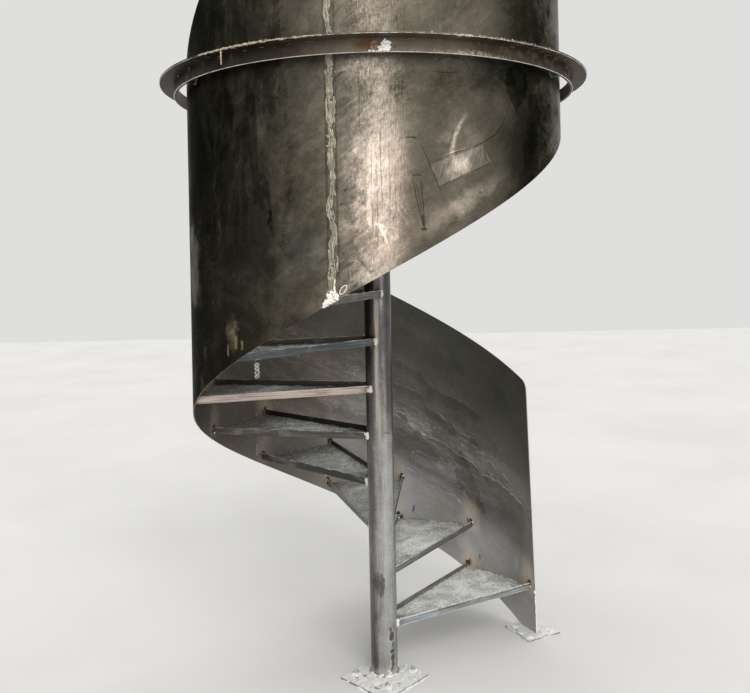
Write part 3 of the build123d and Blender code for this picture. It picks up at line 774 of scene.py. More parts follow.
def bar_finish():
    """Angle bar: each its own shade, drawn lines along it, dust on top, soot by the welds."""
    f = Finish("bar")
    azimuth, _, z = f.unroll(OUTSIDE)
    index, turned = tread_place(f, z, azimuth)
    step = (index + 0.5) / (TREADS + 1)
    back = f.math("GREATER_THAN", turned, TURN / 2)
    stops = [[(number / (TREADS + 1), tint) for number, tint in enumerate(tints)]
        for tints in (NOSING_TINTS, BACK_TINTS)]
    tint = f.mix(back, f.ramp(step, *stops[0], kind="CONSTANT"), f.ramp(step, *stops[1], kind="CONSTANT"))
    radius = f.from_axis()
    lengthwise = f.join(radius * 3, z * 120, index + back * 31)
    drawn = f.grain(lengthwise, 1.6, 4, 0.6, 0.2)
    patchy = f.grain(f.join(radius * 9, z * 14, index + back), 1, 4, 0.6, 0.8)
    fine = f.grain(f.place, 240, 3, 0.7)
    f.color = f.mix(f.span(drawn, 0.3, 0.72), f.mix(0.7, tint, (0.02, 0.02, 0.02)), tint)
    f.paint(f.span(patchy, 0.5, 0.66) * 0.45, f.mix(0.5, tint, (0.34, 0.33, 0.31)))
    f.paint(f.span(patchy, 0.44, 0.3) * 0.5, f.mix(0.6, tint, (0.03, 0.028, 0.025)))
    lowest = f.math("LESS_THAN", index, 0.5)
    first = lowest * (1 - back)
    # A bluish painted highlight on the first nosing, near its pole end.
    blue = first * (f.span(radius, 0.27, 0.25) * f.span(patchy, 0.2, 0.4))
    f.paint(blue, f.mix(f.span(drawn, 0.35, 0.65), (0.2, 0.235, 0.27), (0.4, 0.44, 0.47)))
    # The lowest bars' edges are painted pale, partly rubbed bare and partly a painted highlight, with a dark
    # line below the first nosing's
    drop = f.line(index, RISER, FIRST_TOP) - z
    worn = f.span(f.grain(f.join(radius * 40, index, back), 1, 3, 0.6), 0.34, 0.56)
    line = f.span(drop, 0.0052, 0.0034) * worn * f.span(index, 2.5, 1.2)
    f.paint(line * 0.85, (0.72, 0.71, 0.67))
    line = f.near(drop, 0.0088, 0.0026) * first * f.span(patchy, 0.4, 0.52)
    f.paint(line * 0.7, (0.05, 0.048, 0.045))
    line = f.span(drop, BAR - 0.004, BAR - 0.0024) * worn * lowest
    f.paint(line * 0.7, (0.66, 0.65, 0.62))
    dust = f.top() * f.span(f.grain(f.place, 60, 4, 0.65), 0.36, 0.58)
    low = f.span(z, 1.6, 0.2)
    f.paint(dust * f.line(low, 0.35, 0.5), (0.5, 0.49, 0.46))
    ends = f.max(f.span(radius, 0.105, 0.072), f.span(radius, 0.735, 0.768))
    burnt = ends * f.span(f.grain(f.place, 34, 4, 0.6), 0.34, 0.55)
    f.paint(burnt * 0.65, (0.085, 0.06, 0.045))
    rust = f.rust(f.place, 75, 0.6, 0.74)
    f.paint(rust * 0.35, (0.17, 0.085, 0.045))
    rough = f.line(fine, 0.16, f.blend(f.max(dust, burnt), 0.34, 0.62))
    metal = f.blend(f.max(dust, burnt), 0.55, 0.05)
    return f.done(metal, rough, (drawn, 0.0005, 0.6), (fine, 0.0003, 0.6))


def pan_finish():
    """Tread plate: dark under pale grey dust and specks, which lie thickest low down."""
    f = Finish("pan")
    z = f.parts(f.place)[2]
    radius, top = f.from_axis(), f.top()
    cloud = f.grain(f.place, 6.5, 7, 0.66, 0.8)
    puddled = f.grain(f.place, 24, 7, 0.74, 0.5)
    fine = f.grain(f.place, 210, 3, 0.75)
    sand = f.grain(f.place, 105, 4, 0.75)
    base = f.ramp(f.line(puddled, 0.5, cloud * 0.5), (0.3, (0.045, 0.048, 0.043)),
        (0.5, (0.12, 0.125, 0.112)), (0.7, (0.21, 0.207, 0.19)))
    low = f.span(z, 1.25, 0.1)
    cover = f.line(low, 0.52, 0.44)
    # The dust thins towards the wall and towards the pole, so the pan is darker there; towards the pole this
    # is painted shade in the pan's inside corner.
    swirl = (cover + f.about(puddled, 0.7) + f.about(cloud, 0.8) + f.about(sand, 1.3)
        + f.span(radius, 0.5, 0.77, 0, -0.4) + f.span(radius, 0.42, 0.07, 0, -0.45))
    dust = f.span(swirl, 0.05, 0.95) * top
    dust_color = f.mix(f.span(cloud + f.about(sand, 0.8), 0.34, 0.66), (0.45, 0.465, 0.435),
        (0.8, 0.8, 0.765))
    f.color = f.mix(dust * 0.95, base, dust_color)
    speck = f.span(f.cells(f.place, 85), 0.34, 0.22)
    speck = speck * f.span(f.grain(f.place, 22, 3), 0.44, 0.54) * top
    f.paint(speck * 0.85, (0.93, 0.92, 0.88))
    pit = f.span(f.cells(f.lay(f.place, move=(0.3, 0.1, 0)), 80), 0.28, 0.14)
    pit = pit * f.span(f.grain(f.place, 17, 3), 0.5, 0.6)
    f.paint(pit * 0.55, (0.07, 0.065, 0.055))
    edge = f.max(f.span(radius, 0.135, 0.08), f.span(radius, 0.728, 0.772))
    burnt = edge * f.span(puddled, 0.46, 0.6)
    f.paint(burnt * 0.45, (0.1, 0.08, 0.065))
    rust = f.rust(f.place, 48, 0.62, 0.75)
    f.paint(rust * 0.22, (0.22, 0.14, 0.09))
    rough = f.about(fine, 0.14) + f.blend(dust, 0.42, 0.78)
    return f.done(f.blend(dust, 0.45, 0), rough, (puddled + speck * 0.6 + sand * 0.3, 0.0016, 0.6),
        (fine, 0.0004, 0.7))


def ring_finish():
    """Rolled angle: dark brown scale, more rust to one side."""
    f = Finish("ring")
    azimuth, along, z = f.unroll(RING_OUTSIDE)
    band = f.join(along, z)
    cloud = f.grain(f.place, 7, 5, 0.62, 0.7)
    runs = f.grain(f.join(along * 26, z * 7, 0), 1, 5, 0.6, 0.5)
    fine = f.grain(f.place, 230, 3, 0.7)
    # Lighter across the front, from 252° to 300°, and darker from 205° to 235°: partly the ring's own tone
    # and partly painted highlight and painted dark reflection, as on the wall.
    tone = f.curve(azimuth, (0, 0.5), (170, 0.46), (205, 0.22), (235, 0.24), (252, 0.46), (262, 0.67),
        (285, 0.68), (300, 0.44), (325, 0.4), (360, 0.5))
    tone = tone + f.about(cloud, 0.4) + f.about(runs, 0.3)
    f.color = f.ramp(tone, (0.1, (0.012, 0.0105, 0.008)), (0.45, (0.062, 0.05, 0.037)),
        (0.85, (0.175, 0.145, 0.11)))
    right = f.span(azimuth, 275, 320) * f.span(azimuth, 360, 345)
    rust = f.span(f.line(right, 0.08, f.grain(f.place, 30, 5, 0.7)), 0.54, 0.7)
    f.paint(rust * 0.5, f.mix(fine, (0.085, 0.042, 0.02), (0.2, 0.115, 0.06)))
    grime = f.span(f.grain(f.place, 60, 5, 0.7) + right * 0.05, 0.6, 0.7)
    f.paint(grime * 0.6, (0.01, 0.009, 0.008))
    heat = f.spot(band, 268.5, 2.474, 0.065, 0.03, 0, 0.8)
    f.paint(heat * 0.85, (0.085, 0.042, 0.02))
    scurf = f.spot(band, 293, RING_BOTTOM + 0.002, 0.17, 0.02, 0, 0.9)
    scurf = scurf * f.rust(f.place, 85, 0.46, 0.54)
    f.paint(scurf * 0.85, (0.5, 0.42, 0.34))
    dust = f.top() * f.span(cloud, 0.3, 0.55)
    f.paint(dust * 0.6, (0.42, 0.4, 0.36))
    dull = f.max(rust, dust)
    rough = f.about(fine, 0.14) + f.blend(dull, 0.42, 0.68)
    return f.done(f.blend(dull, 0.7, 0.05), rough, (cloud + rust * 0.4 + grime * -0.4, 0.001, 0.6),
        (fine, 0.0004, 0.6), specular_tint=(0.5, 0.5, 0.5))


def floor_plate_finish():
    """Plate on the floor, nearly hidden under a skim of cement, with scratches through it."""
    f = Finish("floor_plate")
    cloud = f.grain(f.place, 14, 5, 0.65, 0.8)
    fine = f.grain(f.place, 210, 3, 0.75)
    swirl = f.grain(f.place, 30, 6, 0.64, 1.4)
    steel = f.ramp(cloud, (0.3, (0.1, 0.095, 0.09)), (0.7, (0.24, 0.23, 0.215)))
    skim = f.ramp(swirl, (0.3, (0.47, 0.47, 0.455)), (0.5, (0.6, 0.6, 0.58)), (0.72, (0.7, 0.695, 0.675)))
    cover = f.span(f.line(swirl, 0.6, cloud * 0.4), 0.36, 0.44)
    f.color = f.mix(cover * 0.95, steel, skim)
    line = f.near(swirl, 0.44, 0.014) + f.near(swirl, 0.57, 0.006) * 0.6
    f.paint(line * 0.62, (0.13, 0.12, 0.11))
    # The upright sides are painted dark: painted shade along the plates' edges.
    sides = f.parts(f.lay(f.normal, turn=45))[2]
    f.paint(f.span(sides, 0.6, 0.3), (0.2, 0.19, 0.18))
    rust = f.rust(f.place, 60, 0.6, 0.72)
    f.paint(rust * 0.35, (0.22, 0.13, 0.075))
    rough = f.line(fine, 0.14, f.blend(cover, 0.45, 0.8))
    return f.done(f.blend(cover, 0.5, 0), rough, (swirl, 0.0022, 0.6), (fine, 0.0005, 0.7))


def crumb_finish(name, dark, middle, light, scale, rough=0.6, metal=0.0, line=0.0):
    """Weld metal, putty, cement and crust: three shades, pits and fine bumps."""
    f = Finish(name)
    cloud = f.grain(f.place, scale, 4, 0.65, 0.9)
    fine = f.grain(f.place, scale * 9, 3, 0.75)
    pit = f.span(f.cells(f.place, scale * 2.4), 0.22, 0.1)
    pit = pit * f.span(f.grain(f.place, scale * 0.7, 2), 0.5, 0.6)
    f.color = f.ramp(cloud, (0.28, dark), (0.5, middle), (0.74, light))
    f.paint(f.span(fine, 0.62, 0.75) * 0.4, light)
    f.paint(pit * 0.75, tuple(c * 0.35 for c in dark))
    if line:
        f.paint(f.near(cloud, 0.45, 0.02) * line, tuple(c * 0.5 for c in dark))
    roughness = f.line(fine, 0.2, rough - 0.1)
    return f.done(metal, roughness, (cloud - pit, 0.0016, 0.6), (fine, 0.0005, 0.7))


def floor_finish():
    """Pale trowelled floor, nearly plain."""
    f = Finish("floor")
    cloud = f.grain(f.place, 0.8, 4, 0.55, 0.4)
    fine = f.grain(f.place, 90, 3, 0.7)
    f.color = f.ramp(cloud, (0.3, (0.525, 0.522, 0.509)), (0.7, (0.575, 0.572, 0.558)))
    f.paint(f.span(fine, 0.6, 0.75) * 0.15, (0.55, 0.545, 0.53))
    return f.done(0, 0.85, (fine, 0.0006, 0.4))


# Shapes

UP = Vector((0, 0, 1))


def wave(x, y=0, z=0):
    return noise.noise(Vector((x, y, z)))


def steps(start, end, count):
    return [start + (end - start) * i / (count - 1) for i in range(count)]


def turns(count):
    return [math.tau * i / count for i in range(count)]


def out_at(point, inward=False):
    way = Vector((point.x, point.y, 0)).normalized()
    return -way if inward else way


def in_at(point):
    return out_at(point, True)


def lean(extra, share=1, inward=False):
    """For a bead's points, the way out from the axis, or in, leaning towards a further way."""
    return lambda point: (out_at(point, inward) * share + extra).normalized()


def circle(center, side, up, radius):
    """The point at an angle on a circle that two directions span, as a function."""
    return lambda a: center + side * (math.cos(a) * radius) + up * (math.sin(a) * radius)


class Shape:
    """Points and faces gathered for one piece."""

    def __init__(self):
        self.points, self.faces = [], []

    def add(self, points, faces):
        base = len(self.points)
        self.points.extend(points)
        self.faces.extend([base + i for i in face] for face in faces)

    def loft(self, rings, closed=False):
        """A skin over rings of equal length, capped at its ends or joined into a loop."""
        count, total, faces = len(rings[0]), len(rings), []
        for row in range(total if closed else total - 1):
            after = (row + 1) % total
            for i in range(count):
                j = (i + 1) % count
                faces.append((row * count + i, row * count + j, after * count + j, after * count + i))
        if not closed:
            faces.append(tuple(range(count))[::-1])
            faces.append(tuple((total - 1) * count + i for i in range(count)))
        self.add([point for ring in rings for point in ring], faces)

    def lump(self, center, normal, size, seed, rough=0.28, detail=2, turn=0):
        """A knobbly blob: size across, along and out from the surface it sits on."""
        points, faces = ball(detail)
        out = normal.normalized()
        side = Matrix.Rotation(turn, 3, out) @ out.orthogonal().normalized()
        ahead = out.cross(side)
        shift = Vector((seed * 7.31, seed * 3.17, seed * 1.93))
        placed = []
        for p in points:
            coarse, fine = noise.noise(p * 1.9 + shift), noise.noise(p * 4.7 + shift)
            swell = 1 + rough * coarse * 1.6 + rough * 0.5 * fine
            placed.append(center + side * (p.x * size[0] * swell) + ahead * (p.y * size[1] * swell)
                + out * (p.z * size[2] * swell))
        self.add(placed, faces)

    def drop(self, rng, place, out, sizes, longs, flat, seeds=90, rough=0.4, detail=1, other=None, share=0):
        """A lump of random size; longs is its length over its width, as a range or a number.

        With another shape, a share of the lumps goes to that.
        """
        size = rng.uniform(*sizes)
        target = other if other and rng.random() < share else self
        long = rng.uniform(*longs) if isinstance(longs, tuple) else longs
        target.lump(place, out, (size, size * long, size * flat), rng.uniform(0, seeds), rough, detail)

    def bead(self, path, out, width, height, seed, ripple=0.005, wander=0.25, taper=True):
        """A weld bead along a path: a low rippled ridge, half sunk in what carries it.

        Out is the way it stands from the surface, or a function of its points.
        """
        rings = []
        run = 0
        last = len(path) - 1
        for number, point in enumerate(path):
            ahead = (path[min(number + 1, last)] - path[max(number - 1, 0)]).normalized()
            up = out(point) if callable(out) else out
            side = ahead.cross(up).normalized()
            up = side.cross(ahead).normalized()
            if number:
                run += (point - path[number - 1]).length
            beat = math.sin(run / ripple * math.tau)
            swell = 1 + 0.16 * beat + wander * wave(run * 90, seed * 5.1)
            rise = 1 + 0.2 * beat + wander * wave(run * 70, seed * 9.7, 4)
            if taper:
                close = min(1, 0.35 + 0.65 * (min(number, last - number) / 2))
                swell *= close
                rise *= close
            center = point + side * (width * 0.25 * wave(run * 60, seed, 8))
            across, high = width / 2 * swell, height * rise
            rings.append([center + side * (math.cos(a) * across) + up * (math.sin(a) * high)
                for a in turns(BEAD_SIDES)])
        self.loft(rings)

    def piece(self, name, material, slot):
        mesh = bpy.data.meshes.new(name)
        mesh.from_pydata(self.points, [], self.faces)
        work = bmesh.new()
        work.from_mesh(mesh)
        bmesh.ops.recalc_face_normals(work, faces=work.faces)
        work.to_mesh(mesh)
        work.free()
        mesh.polygons.foreach_set("use_smooth", [True] * len(mesh.polygons))
        mesh.materials.append(material)
        piece = bpy.data.objects.new(name, mesh)
        bpy.context.scene.collection.objects.link(piece)
        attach(piece, "root")


BALLS = {}


def ball(detail):
    """The points and faces of a unit icosphere."""
    if detail not in BALLS:
        work = bmesh.new()
        bmesh.ops.create_icosphere(work, subdivisions=detail, radius=1)
        work.verts.ensure_lookup_table()
        BALLS[detail] = [v.co.copy() for v in work.verts], [[v.index for v in f.verts] for f in work.faces]
        work.free()
    return BALLS[detail]


def tread_top(number):
    return FIRST_TOP + number * RISER


def tread_sides(number):
    """Azimuths of a tread's nosing and back bars, at the wall and at the pole each."""
    nosing = FIRST_NOSING + number * TURN
    back = nosing + (TURN if number < TREADS else LANDING_TURN)
    return (nosing, nosing - (0 if number == RADIAL_NOSING else SPREAD)), (back, back + SPREAD)


def settle(number, point):
    """A point of a tread, its height given from the tread's top, tilted as the tread is."""
    if number < TREADS and number not in LEVEL:
        (wall, pole), _ = tread_sides(number)
        hinge = polar(INSIDE, wall, -BAR / 2)
        along = hinge - polar(POLE, pole, -BAR / 2)
        point = hinge + Matrix.Rotation(math.radians(-TILT), 3, along.normalized()) @ (point - hinge)
    return point + Vector((0, 0, tread_top(number)))


def reach(point, along, radius):
    """Where a level line from a point meets the upright cylinder of a radius, going outwards."""
    b = point.x * along.x + point.y * along.y
    c = point.x ** 2 + point.y ** 2 - radius ** 2
    return point + along * (-b + math.sqrt(b * b - c))


def bar_ways(number, back):
    """A bar's start at the pole, the way along it and the way out of its tread."""
    wall, pole = tread_sides(number)[back]
    start = polar(POLE, pole)
    along = (polar(INSIDE, wall) - start).normalized()
    return start, along, Vector((-along.y, along.x, 0)) * (1 if back else -1)


def bar_end(number, back, offset, radius, drop):
    """A point on a bar at a radius: offset is outwards from its middle line, drop below its top."""
    start, along, outward = bar_ways(number, back)
    point = reach(start + outward * offset, along, radius)
    point.z = -drop
    return settle(number, point)


def pan_point(number, azimuth, radius, above=0):
    """A point on a pan's upper face, at a height above it."""
    return settle(number, polar(radius, azimuth, above + LEG * 2 - BAR))


def make_bar_welds(rng):
    """Weld metal where the bars meet the pole and the wall, and the bars' bright edges."""
    bright, dark, slag, edges = (Shape() for _ in range(4))
    face = BAR / 2
    for number, back in ((n, b) for n in range(TREADS + 1) for b in (0, 1)):
        seed = number * 2 + back
        side = bar_ways(number, back)[2]

        def at(offset, radius, drop):
            return bar_end(number, back, offset, radius, drop)

        for away, wide, high in ((0.001, 0.0105, 0.0062), (0.005, 0.008, 0.0045)):
            path = [at(face + 0.0006, POLE + away + 0.0018 * wave(drop * 160, seed, away * 900), drop)
                for drop in steps(-0.001, BAR + 0.001, 13)]
            bright.bead(path, lean(side * 0.85, 0.55), wide, high, seed + away * 500, 0.0062, 0.7)
        for _ in range(rng.randint(4, 7)):
            spot = at(face + rng.uniform(-0.001, 0.003), POLE + abs(rng.gauss(0, 0.0075)),
                rng.uniform(0, BAR))
            bright.drop(rng, spot, side, (0.0018, 0.0046), (0.8, 1.6), 0.8, 40, 0.35, 2)
        under = steps(0.004 - face, BAR - 0.002 - face, 9)
        path = [at(shift, POLE + 0.0008, BAR) for shift in under]
        dark.bead(path, lean(UP * -0.8), 0.007, 0.004, seed + 31)
        path = [at(face, INSIDE - 0.0008, drop) for drop in steps(0.001, BAR - 0.001, 12)]
        dark.bead(path, lean(side * 0.6, 0.8, True), 0.0085, 0.0048, seed + 60, wander=0.6)
        path = [at(shift, INSIDE - 0.0008, BAR) for shift in under]
        dark.bead(path, lean(UP * -0.8, 1, True), 0.007, 0.004, seed + 91)
        for _ in range(rng.randint(3, 5)):
            spot = at(face + rng.uniform(-0.004, 0.007), INSIDE - rng.uniform(0, 0.009),
                rng.uniform(-0.006, BAR * 0.8))
            slag.drop(rng, spot, in_at(spot), (0.0022, 0.0052), (0.8, 1.5), 0.7, 40, 0.35, 2, bright, 0.45)
        spot = at(face - 0.004, INSIDE - 0.002, -0.005)
        slag.lump(spot, in_at(spot), (0.0075, 0.0085, 0.004), seed * 1.65, 0.3)
        # Rounded edges along the upright leg's top and bottom, pale: partly rubbed bare and partly a painted
        # highlight
        for drop, thick in ((0.0006, 0.0012), (BAR - 0.0006, 0.0007)):
            rings = []
            for radius in steps(0.066, INSIDE - 0.006, 120):
                worn = wave(radius * 30, seed, drop * 900)
                size = max(0.0003, thick * (1 + 0.9 * worn if number < 2 else 0.75 + 0.8 * worn))
                around = circle(at(face - 0.0007, radius, drop), side, UP, size)
                rings.append([around(a) for a in turns(6)])
            edges.loft(rings)
    return bright, dark, slag, edges


def make_pan_welds(rng):
    """Short stitches between the pans, the bars and the wall, and a few at the pole."""
    stitches = Shape()
    for number in range(TREADS + 1):
        (nosing, nosing_pole), (back, back_pole) = tread_sides(number)
        azimuth = nosing + 2.2
        while azimuth < back - 2.2:
            length = rng.uniform(1, 1.9)
            path = [pan_point(number, a, INSIDE - 0.0012, 0.0006)
                for a in steps(azimuth, min(azimuth + length, back - 1.4), 9)]
            stitches.bead(path, lean(UP, 1, True), 0.0075, 0.0036, azimuth, wander=0.4)
            azimuth += length + rng.uniform(0.7, 2 if number == 3 else 3.4)
        for side in (0, 1):
            place = 0.1
            while place < 0.7:
                length = rng.uniform(0.012, 0.028)
                path = [bar_end(number, side, BAR / 2 - LEG - 0.0006, radius, BAR - LEG * 2 - 0.0006)
                    for radius in steps(place, place + length, 8)]
                stitches.bead(path, (UP - bar_ways(number, side)[2]).normalized(), 0.006, 0.003,
                    place * 50 + number, 0.0045, 0.4)
                place += length + rng.uniform(0.05, 0.13)
        for azimuth in steps(nosing_pole + 16, back_pole - 16, 3):
            path = [pan_point(number, a, POLE + 0.0008, 0.0006) for a in steps(azimuth - 7, azimuth + 7, 8)]
            stitches.bead(path, lean(UP), 0.007, 0.0035, azimuth, wander=0.4)
    return stitches


def beside(azimuth, offset, rise, z):
    """A point beside an azimuth, by an offset along the sheet's outside."""
    return polar(OUTSIDE + rise, azimuth + math.degrees(offset / OUTSIDE), z)


def seam_ribbon(shape, azimuth, bottom, top, width, height, seed, sway, step, across, margin=0):
    """A ribbon of weld and putty up a seam's outside, wavy at both edges.

    With a margin it is a flat rim, wider by that much than the ribbon of the same seed; laid dark, it paints
    the shadow along the putty's edges.
    """
    rings = []
    for z in steps(bottom, top, max(4, int((top - bottom) / step))):
        drift = sway * wave(z * 9, seed) + 0.45 * sway * wave(z * 31, seed, 5)
        edges = []
        for hand in (-1, 1):
            bulge = 1 + 0.62 * wave(z * 15, seed + hand * 3.3, 1) + 0.5 * wave(z * 52, seed + hand * 5.7, 2)
            edges.append(drift + hand * (width / 2 * max(0.25, bulge) + margin))
        fade = min(1, (z - bottom) / 0.006 + 0.3, (top - z) / 0.006 + 0.3)
        left, right = edges
        ring = []
        for place in steps(0, 1, across):
            offset = left + (right - left) * place
            dome = max(0, 1 - abs(2 * place - 1) ** (9 if margin else 2.6))
            rough = 0.8 + 0.4 * wave(offset * 120, z * 60, seed) + 0.2 * wave(offset * 260, z * 190, seed + 9)
            rise = height * dome * (1 if margin else max(0.15, rough)) * fade - 0.0002
            ring.append(beside(azimuth, offset, rise, z))
        sunk = [left + (right - left) * place for place in (0.9, 0.1)]
        rings.append(ring + [beside(azimuth, offset, -0.0012, z) for offset in sunk])
    shape.loft(rings)


def make_seams(rng):
    """The two upright seams: putty over the weld outside, with a flat dark rim under it as painted shadow
    along its edges, and beads inside.
    """
    putty, shadow_rims, beads, white = (Shape() for _ in range(4))
    for number, azimuth in enumerate(SEAMS):
        bottom = lower_edge(azimuth)
        top = bottom + (RING_BAND if number else BAND)
        azimuth_out = azimuth + 0.15

        # Each ribbon of putty gets a flat dark rim a little wider, which is painted shadow along its edges;
        # some of the putty's lumps go dark with it.
        def lay(place, low, high, width, height, rim, seed, sway, step=0.0024, across=11, margin=0.0004):
            seam_ribbon(putty, place, low, high, width, height, seed, sway, step, across)
            seam_ribbon(shadow_rims, place, low, high, width, rim, seed, sway, step, across, margin)

        lay(azimuth_out, bottom + 0.004, top - 0.004, 0.022, 0.0022, 0.0008, 3 + number, 0.009, 0.0022, 15,
            0.0014)
        lay(azimuth_out - 0.2, bottom + 0.01, top - 0.02, 0.0088, 0.0052, 0.0026, 13 + number, 0.02)
        lay(azimuth_out + 0.25, bottom + 0.07, top - 0.05, 0.0072, 0.0046, 0.0025, 33 + number, 0.022)
        z = bottom + 0.04
        while z < top - 0.06:
            length = rng.uniform(0.02, 0.09)
            side = rng.choice((-1, 1))
            lay(azimuth_out + side * rng.uniform(0.35, 0.85), z, min(z + length, top - 0.02),
                rng.uniform(0.007, 0.013), rng.uniform(0.002, 0.0036), 0.0009, rng.uniform(20, 90), 0.01,
                0.0024, 9, 0.001)
            z += length * 0.7 + rng.uniform(0, 0.06)
        for _ in range(70):
            z = rng.uniform(bottom + 0.02, top - 0.02)
            place = polar(OUTSIDE + 0.0022, azimuth_out + rng.gauss(0, 0.5), z)
            putty.drop(rng, place, out_at(place), (0.0014, 0.0038), (1, 2.4), 0.9, 90, 0.35, 1, shadow_rims, 0.35)
        z = bottom + 0.03
        while z < top - 0.05:
            length = rng.uniform(0.03, 0.08)
            path = [polar(INSIDE - 0.0004, azimuth + 0.25 * wave(h * 20, number), h)
                for h in steps(z, z + length, int(length / 0.0018))]
            beads.bead(path, in_at, 0.0085, 0.003, z * 10, wander=0.35)
            z += length + rng.uniform(0.05, 0.12)
    # White weld metal inside the first seam, in four clumps one above the other
    for z in (1.266, 1.247, 1.228, 1.209):
        for a in turns(11):
            place = polar(INSIDE - 0.0015, SEAMS[0] - 0.6 + 0.95 * math.cos(a) + rng.gauss(0, 0.07),
                z + 0.0072 * math.sin(a) + rng.gauss(0, 0.0009))
            white.drop(rng, place, in_at(place), (0.0034, 0.0052), 1, 0.9, 50, 0.4, 2)
    return putty, beads, white, shadow_rims


def make_seam_foot(rng):
    """White filler at the front seam's foot, with a loop of it hanging beside."""
    white = Shape()
    for _ in range(54):
        rise = rng.random() ** 1.5
        azimuth = 258.4 + rng.uniform(-1.9, 1.8) * (1 - rise * 0.62) + rise * 0.4
        place = polar(OUTSIDE, azimuth, lower_edge(azimuth) + 0.004 + rise * 0.034)
        size = rng.uniform(0.0022, 0.0062)
        white.lump(place, out_at(place), (size, size * rng.uniform(0.8, 1.9), size * 0.8), rng.uniform(0, 60),
            0.5, 2, rng.uniform(0, 3))
    for azimuth, wide in ((256.6, 0.008), (257.3, 0.01), (258.3, 0.01), (259.2, 0.009), (260, 0.006)):
        place = polar((INSIDE + OUTSIDE) / 2, azimuth, lower_edge(azimuth) + 0.001)
        white.lump(place, -UP, (wide, 0.005, 0.0035), azimuth, 0.3)
    for low, high, wide in ((1.664, 1.712, 0.0046), (1.65, 1.69, 0.0038)):
        path = [polar(OUTSIDE + 0.0022, 259.5 + (z - 1.65) * 9 - wide * 90, z) for z in steps(low, high, 24)]
        white.bead(path, out_at, wide, 0.003, wide * 900, 0.012, 0.8)
    rings = []
    tilt = math.radians(38)
    azimuth, level, surface = *LOOP, OUTSIDE + 0.0008
    middle = polar(surface, azimuth, level)
    for k, a in enumerate(turns(40)):
        across, up = math.cos(a) * 0.0076, math.sin(a) * 0.0172
        shift = across * math.cos(tilt) + up * math.sin(tilt)
        height = up * math.cos(tilt) - across * math.sin(tilt)
        center = polar(surface, azimuth + math.degrees(shift / OUTSIDE), level + height)
        thick = 0.0017 * (1 + 0.25 * wave(k * 0.4, 2))
        around = circle(center, (center - middle).normalized(), out_at(center), thick)
        rings.append([around(b) for b in turns(8)])
    white.loft(rings, closed=True)
    return white


def make_start_edge(rng):
    """White filler run down the wall's start edge to the foot plate."""
    white = Shape()
    out = polar(1, START - 90)

    def azimuth(z):
        return START + START_LEAN * z / BAND

    for top, wide in ((0.195, 0.0032), (0.15, 0.0038)):
        path = [polar((INSIDE + OUTSIDE) / 2 + rng.uniform(-0.0008, 0.0008), azimuth(z) - 0.03, z)
            for z in steps(FOOT_TOP, top, 44)]
        white.bead(path, out, wide, 0.0022, rng.uniform(0, 50), 0.045, 0.6)
    for z in (0.203, 0.196, 0.172, 0.14, 0.104, 0.086, 0.058, 0.034, 0.02, 0.013):
        place = polar(INSIDE + rng.uniform(-0.001, 0.003), azimuth(z), z)
        size = rng.uniform(0.0018, 0.0036)
        white.lump(place, out, (size, size * 1.5, size * 0.6), z * 90, 0.35)
    return white


def mound(shape, center, radii, thick, base, seed, grid, turn):
    """A low irregular heap of cement on a level surface, as rings that close in on its middle."""
    rings = []
    spin = math.radians(turn)
    for t in steps(0, 1, grid):
        ring = []
        for a in turns(36):
            rim = 1 + 0.3 * wave(math.cos(a) * 1.4, math.sin(a) * 1.4, seed)
            rim += 0.16 * wave(math.cos(a) * 4, math.sin(a) * 4, seed + 4)
            px, py = math.cos(a) * radii[0] * rim * (1 - t), math.sin(a) * radii[1] * rim * (1 - t)
            x = center[0] + px * math.cos(spin) - py * math.sin(spin)
            y = center[1] + px * math.sin(spin) + py * math.cos(spin)
            bumps = 1 + 0.5 * wave(x * 55, y * 55, seed) + 0.3 * wave(x * 150, y * 150, seed + 3)
            ring.append(Vector((x, y, base + thick * (1 - (1 - t) ** 3) * max(0.12, bumps))))
        rings.append(ring)
    under = [Vector((p.x, p.y, max(base - 0.001, 0.0002))) for p in rings[0]]
    shape.loft([under] + rings[:-1])


def skirt(shape, corners, top, seed, reach, high):
    """Cement drawn out from a plate's edge down to the floor, with a ragged rim."""
    center = sum(corners, Vector()) / len(corners)
    rings = []
    for a, b in zip(corners, corners[1:] + corners[:1]):
        side = Vector(((b - a).y, -(b - a).x, 0)).normalized()
        count = max(8, int((b - a).length / 0.0035))
        for i in range(count):
            t = i / count
            near_corner = max(0, 1 - min(t, 1 - t) * 9)
            corner_out = ((a if t < 0.5 else b) - center).normalized()
            out = (side * (1 - near_corner) + corner_out * near_corner).normalized()
            p = a.lerp(b, t)
            broad, small = wave(p.x * 11, p.y * 11, seed), wave(p.x * 45, p.y * 45, seed + 3)
            wide = reach * max(0.18, 0.8 + 1.1 * broad + 0.45 * small)
            level = top * max(0.12, min(1.08, high + broad + 0.4 * small))
            ring = []
            for away, height in ((-0.004, level * 0.97), (0.0008, level), (wide * 0.3, level * 0.72),
                    (wide * 0.65, level * 0.36), (wide, 0.0006), (wide, 0.0002), (-0.004, 0.0002)):
                q = p + out * away
                rough = 1 + 0.35 * wave(q.x * 120, q.y * 120, seed + 5) if 0 < away < wide else 1
                ring.append(Vector((q.x, q.y, max(0.0002, height * rough))))
            rings.append(ring)
    shape.loft(rings, closed=True)


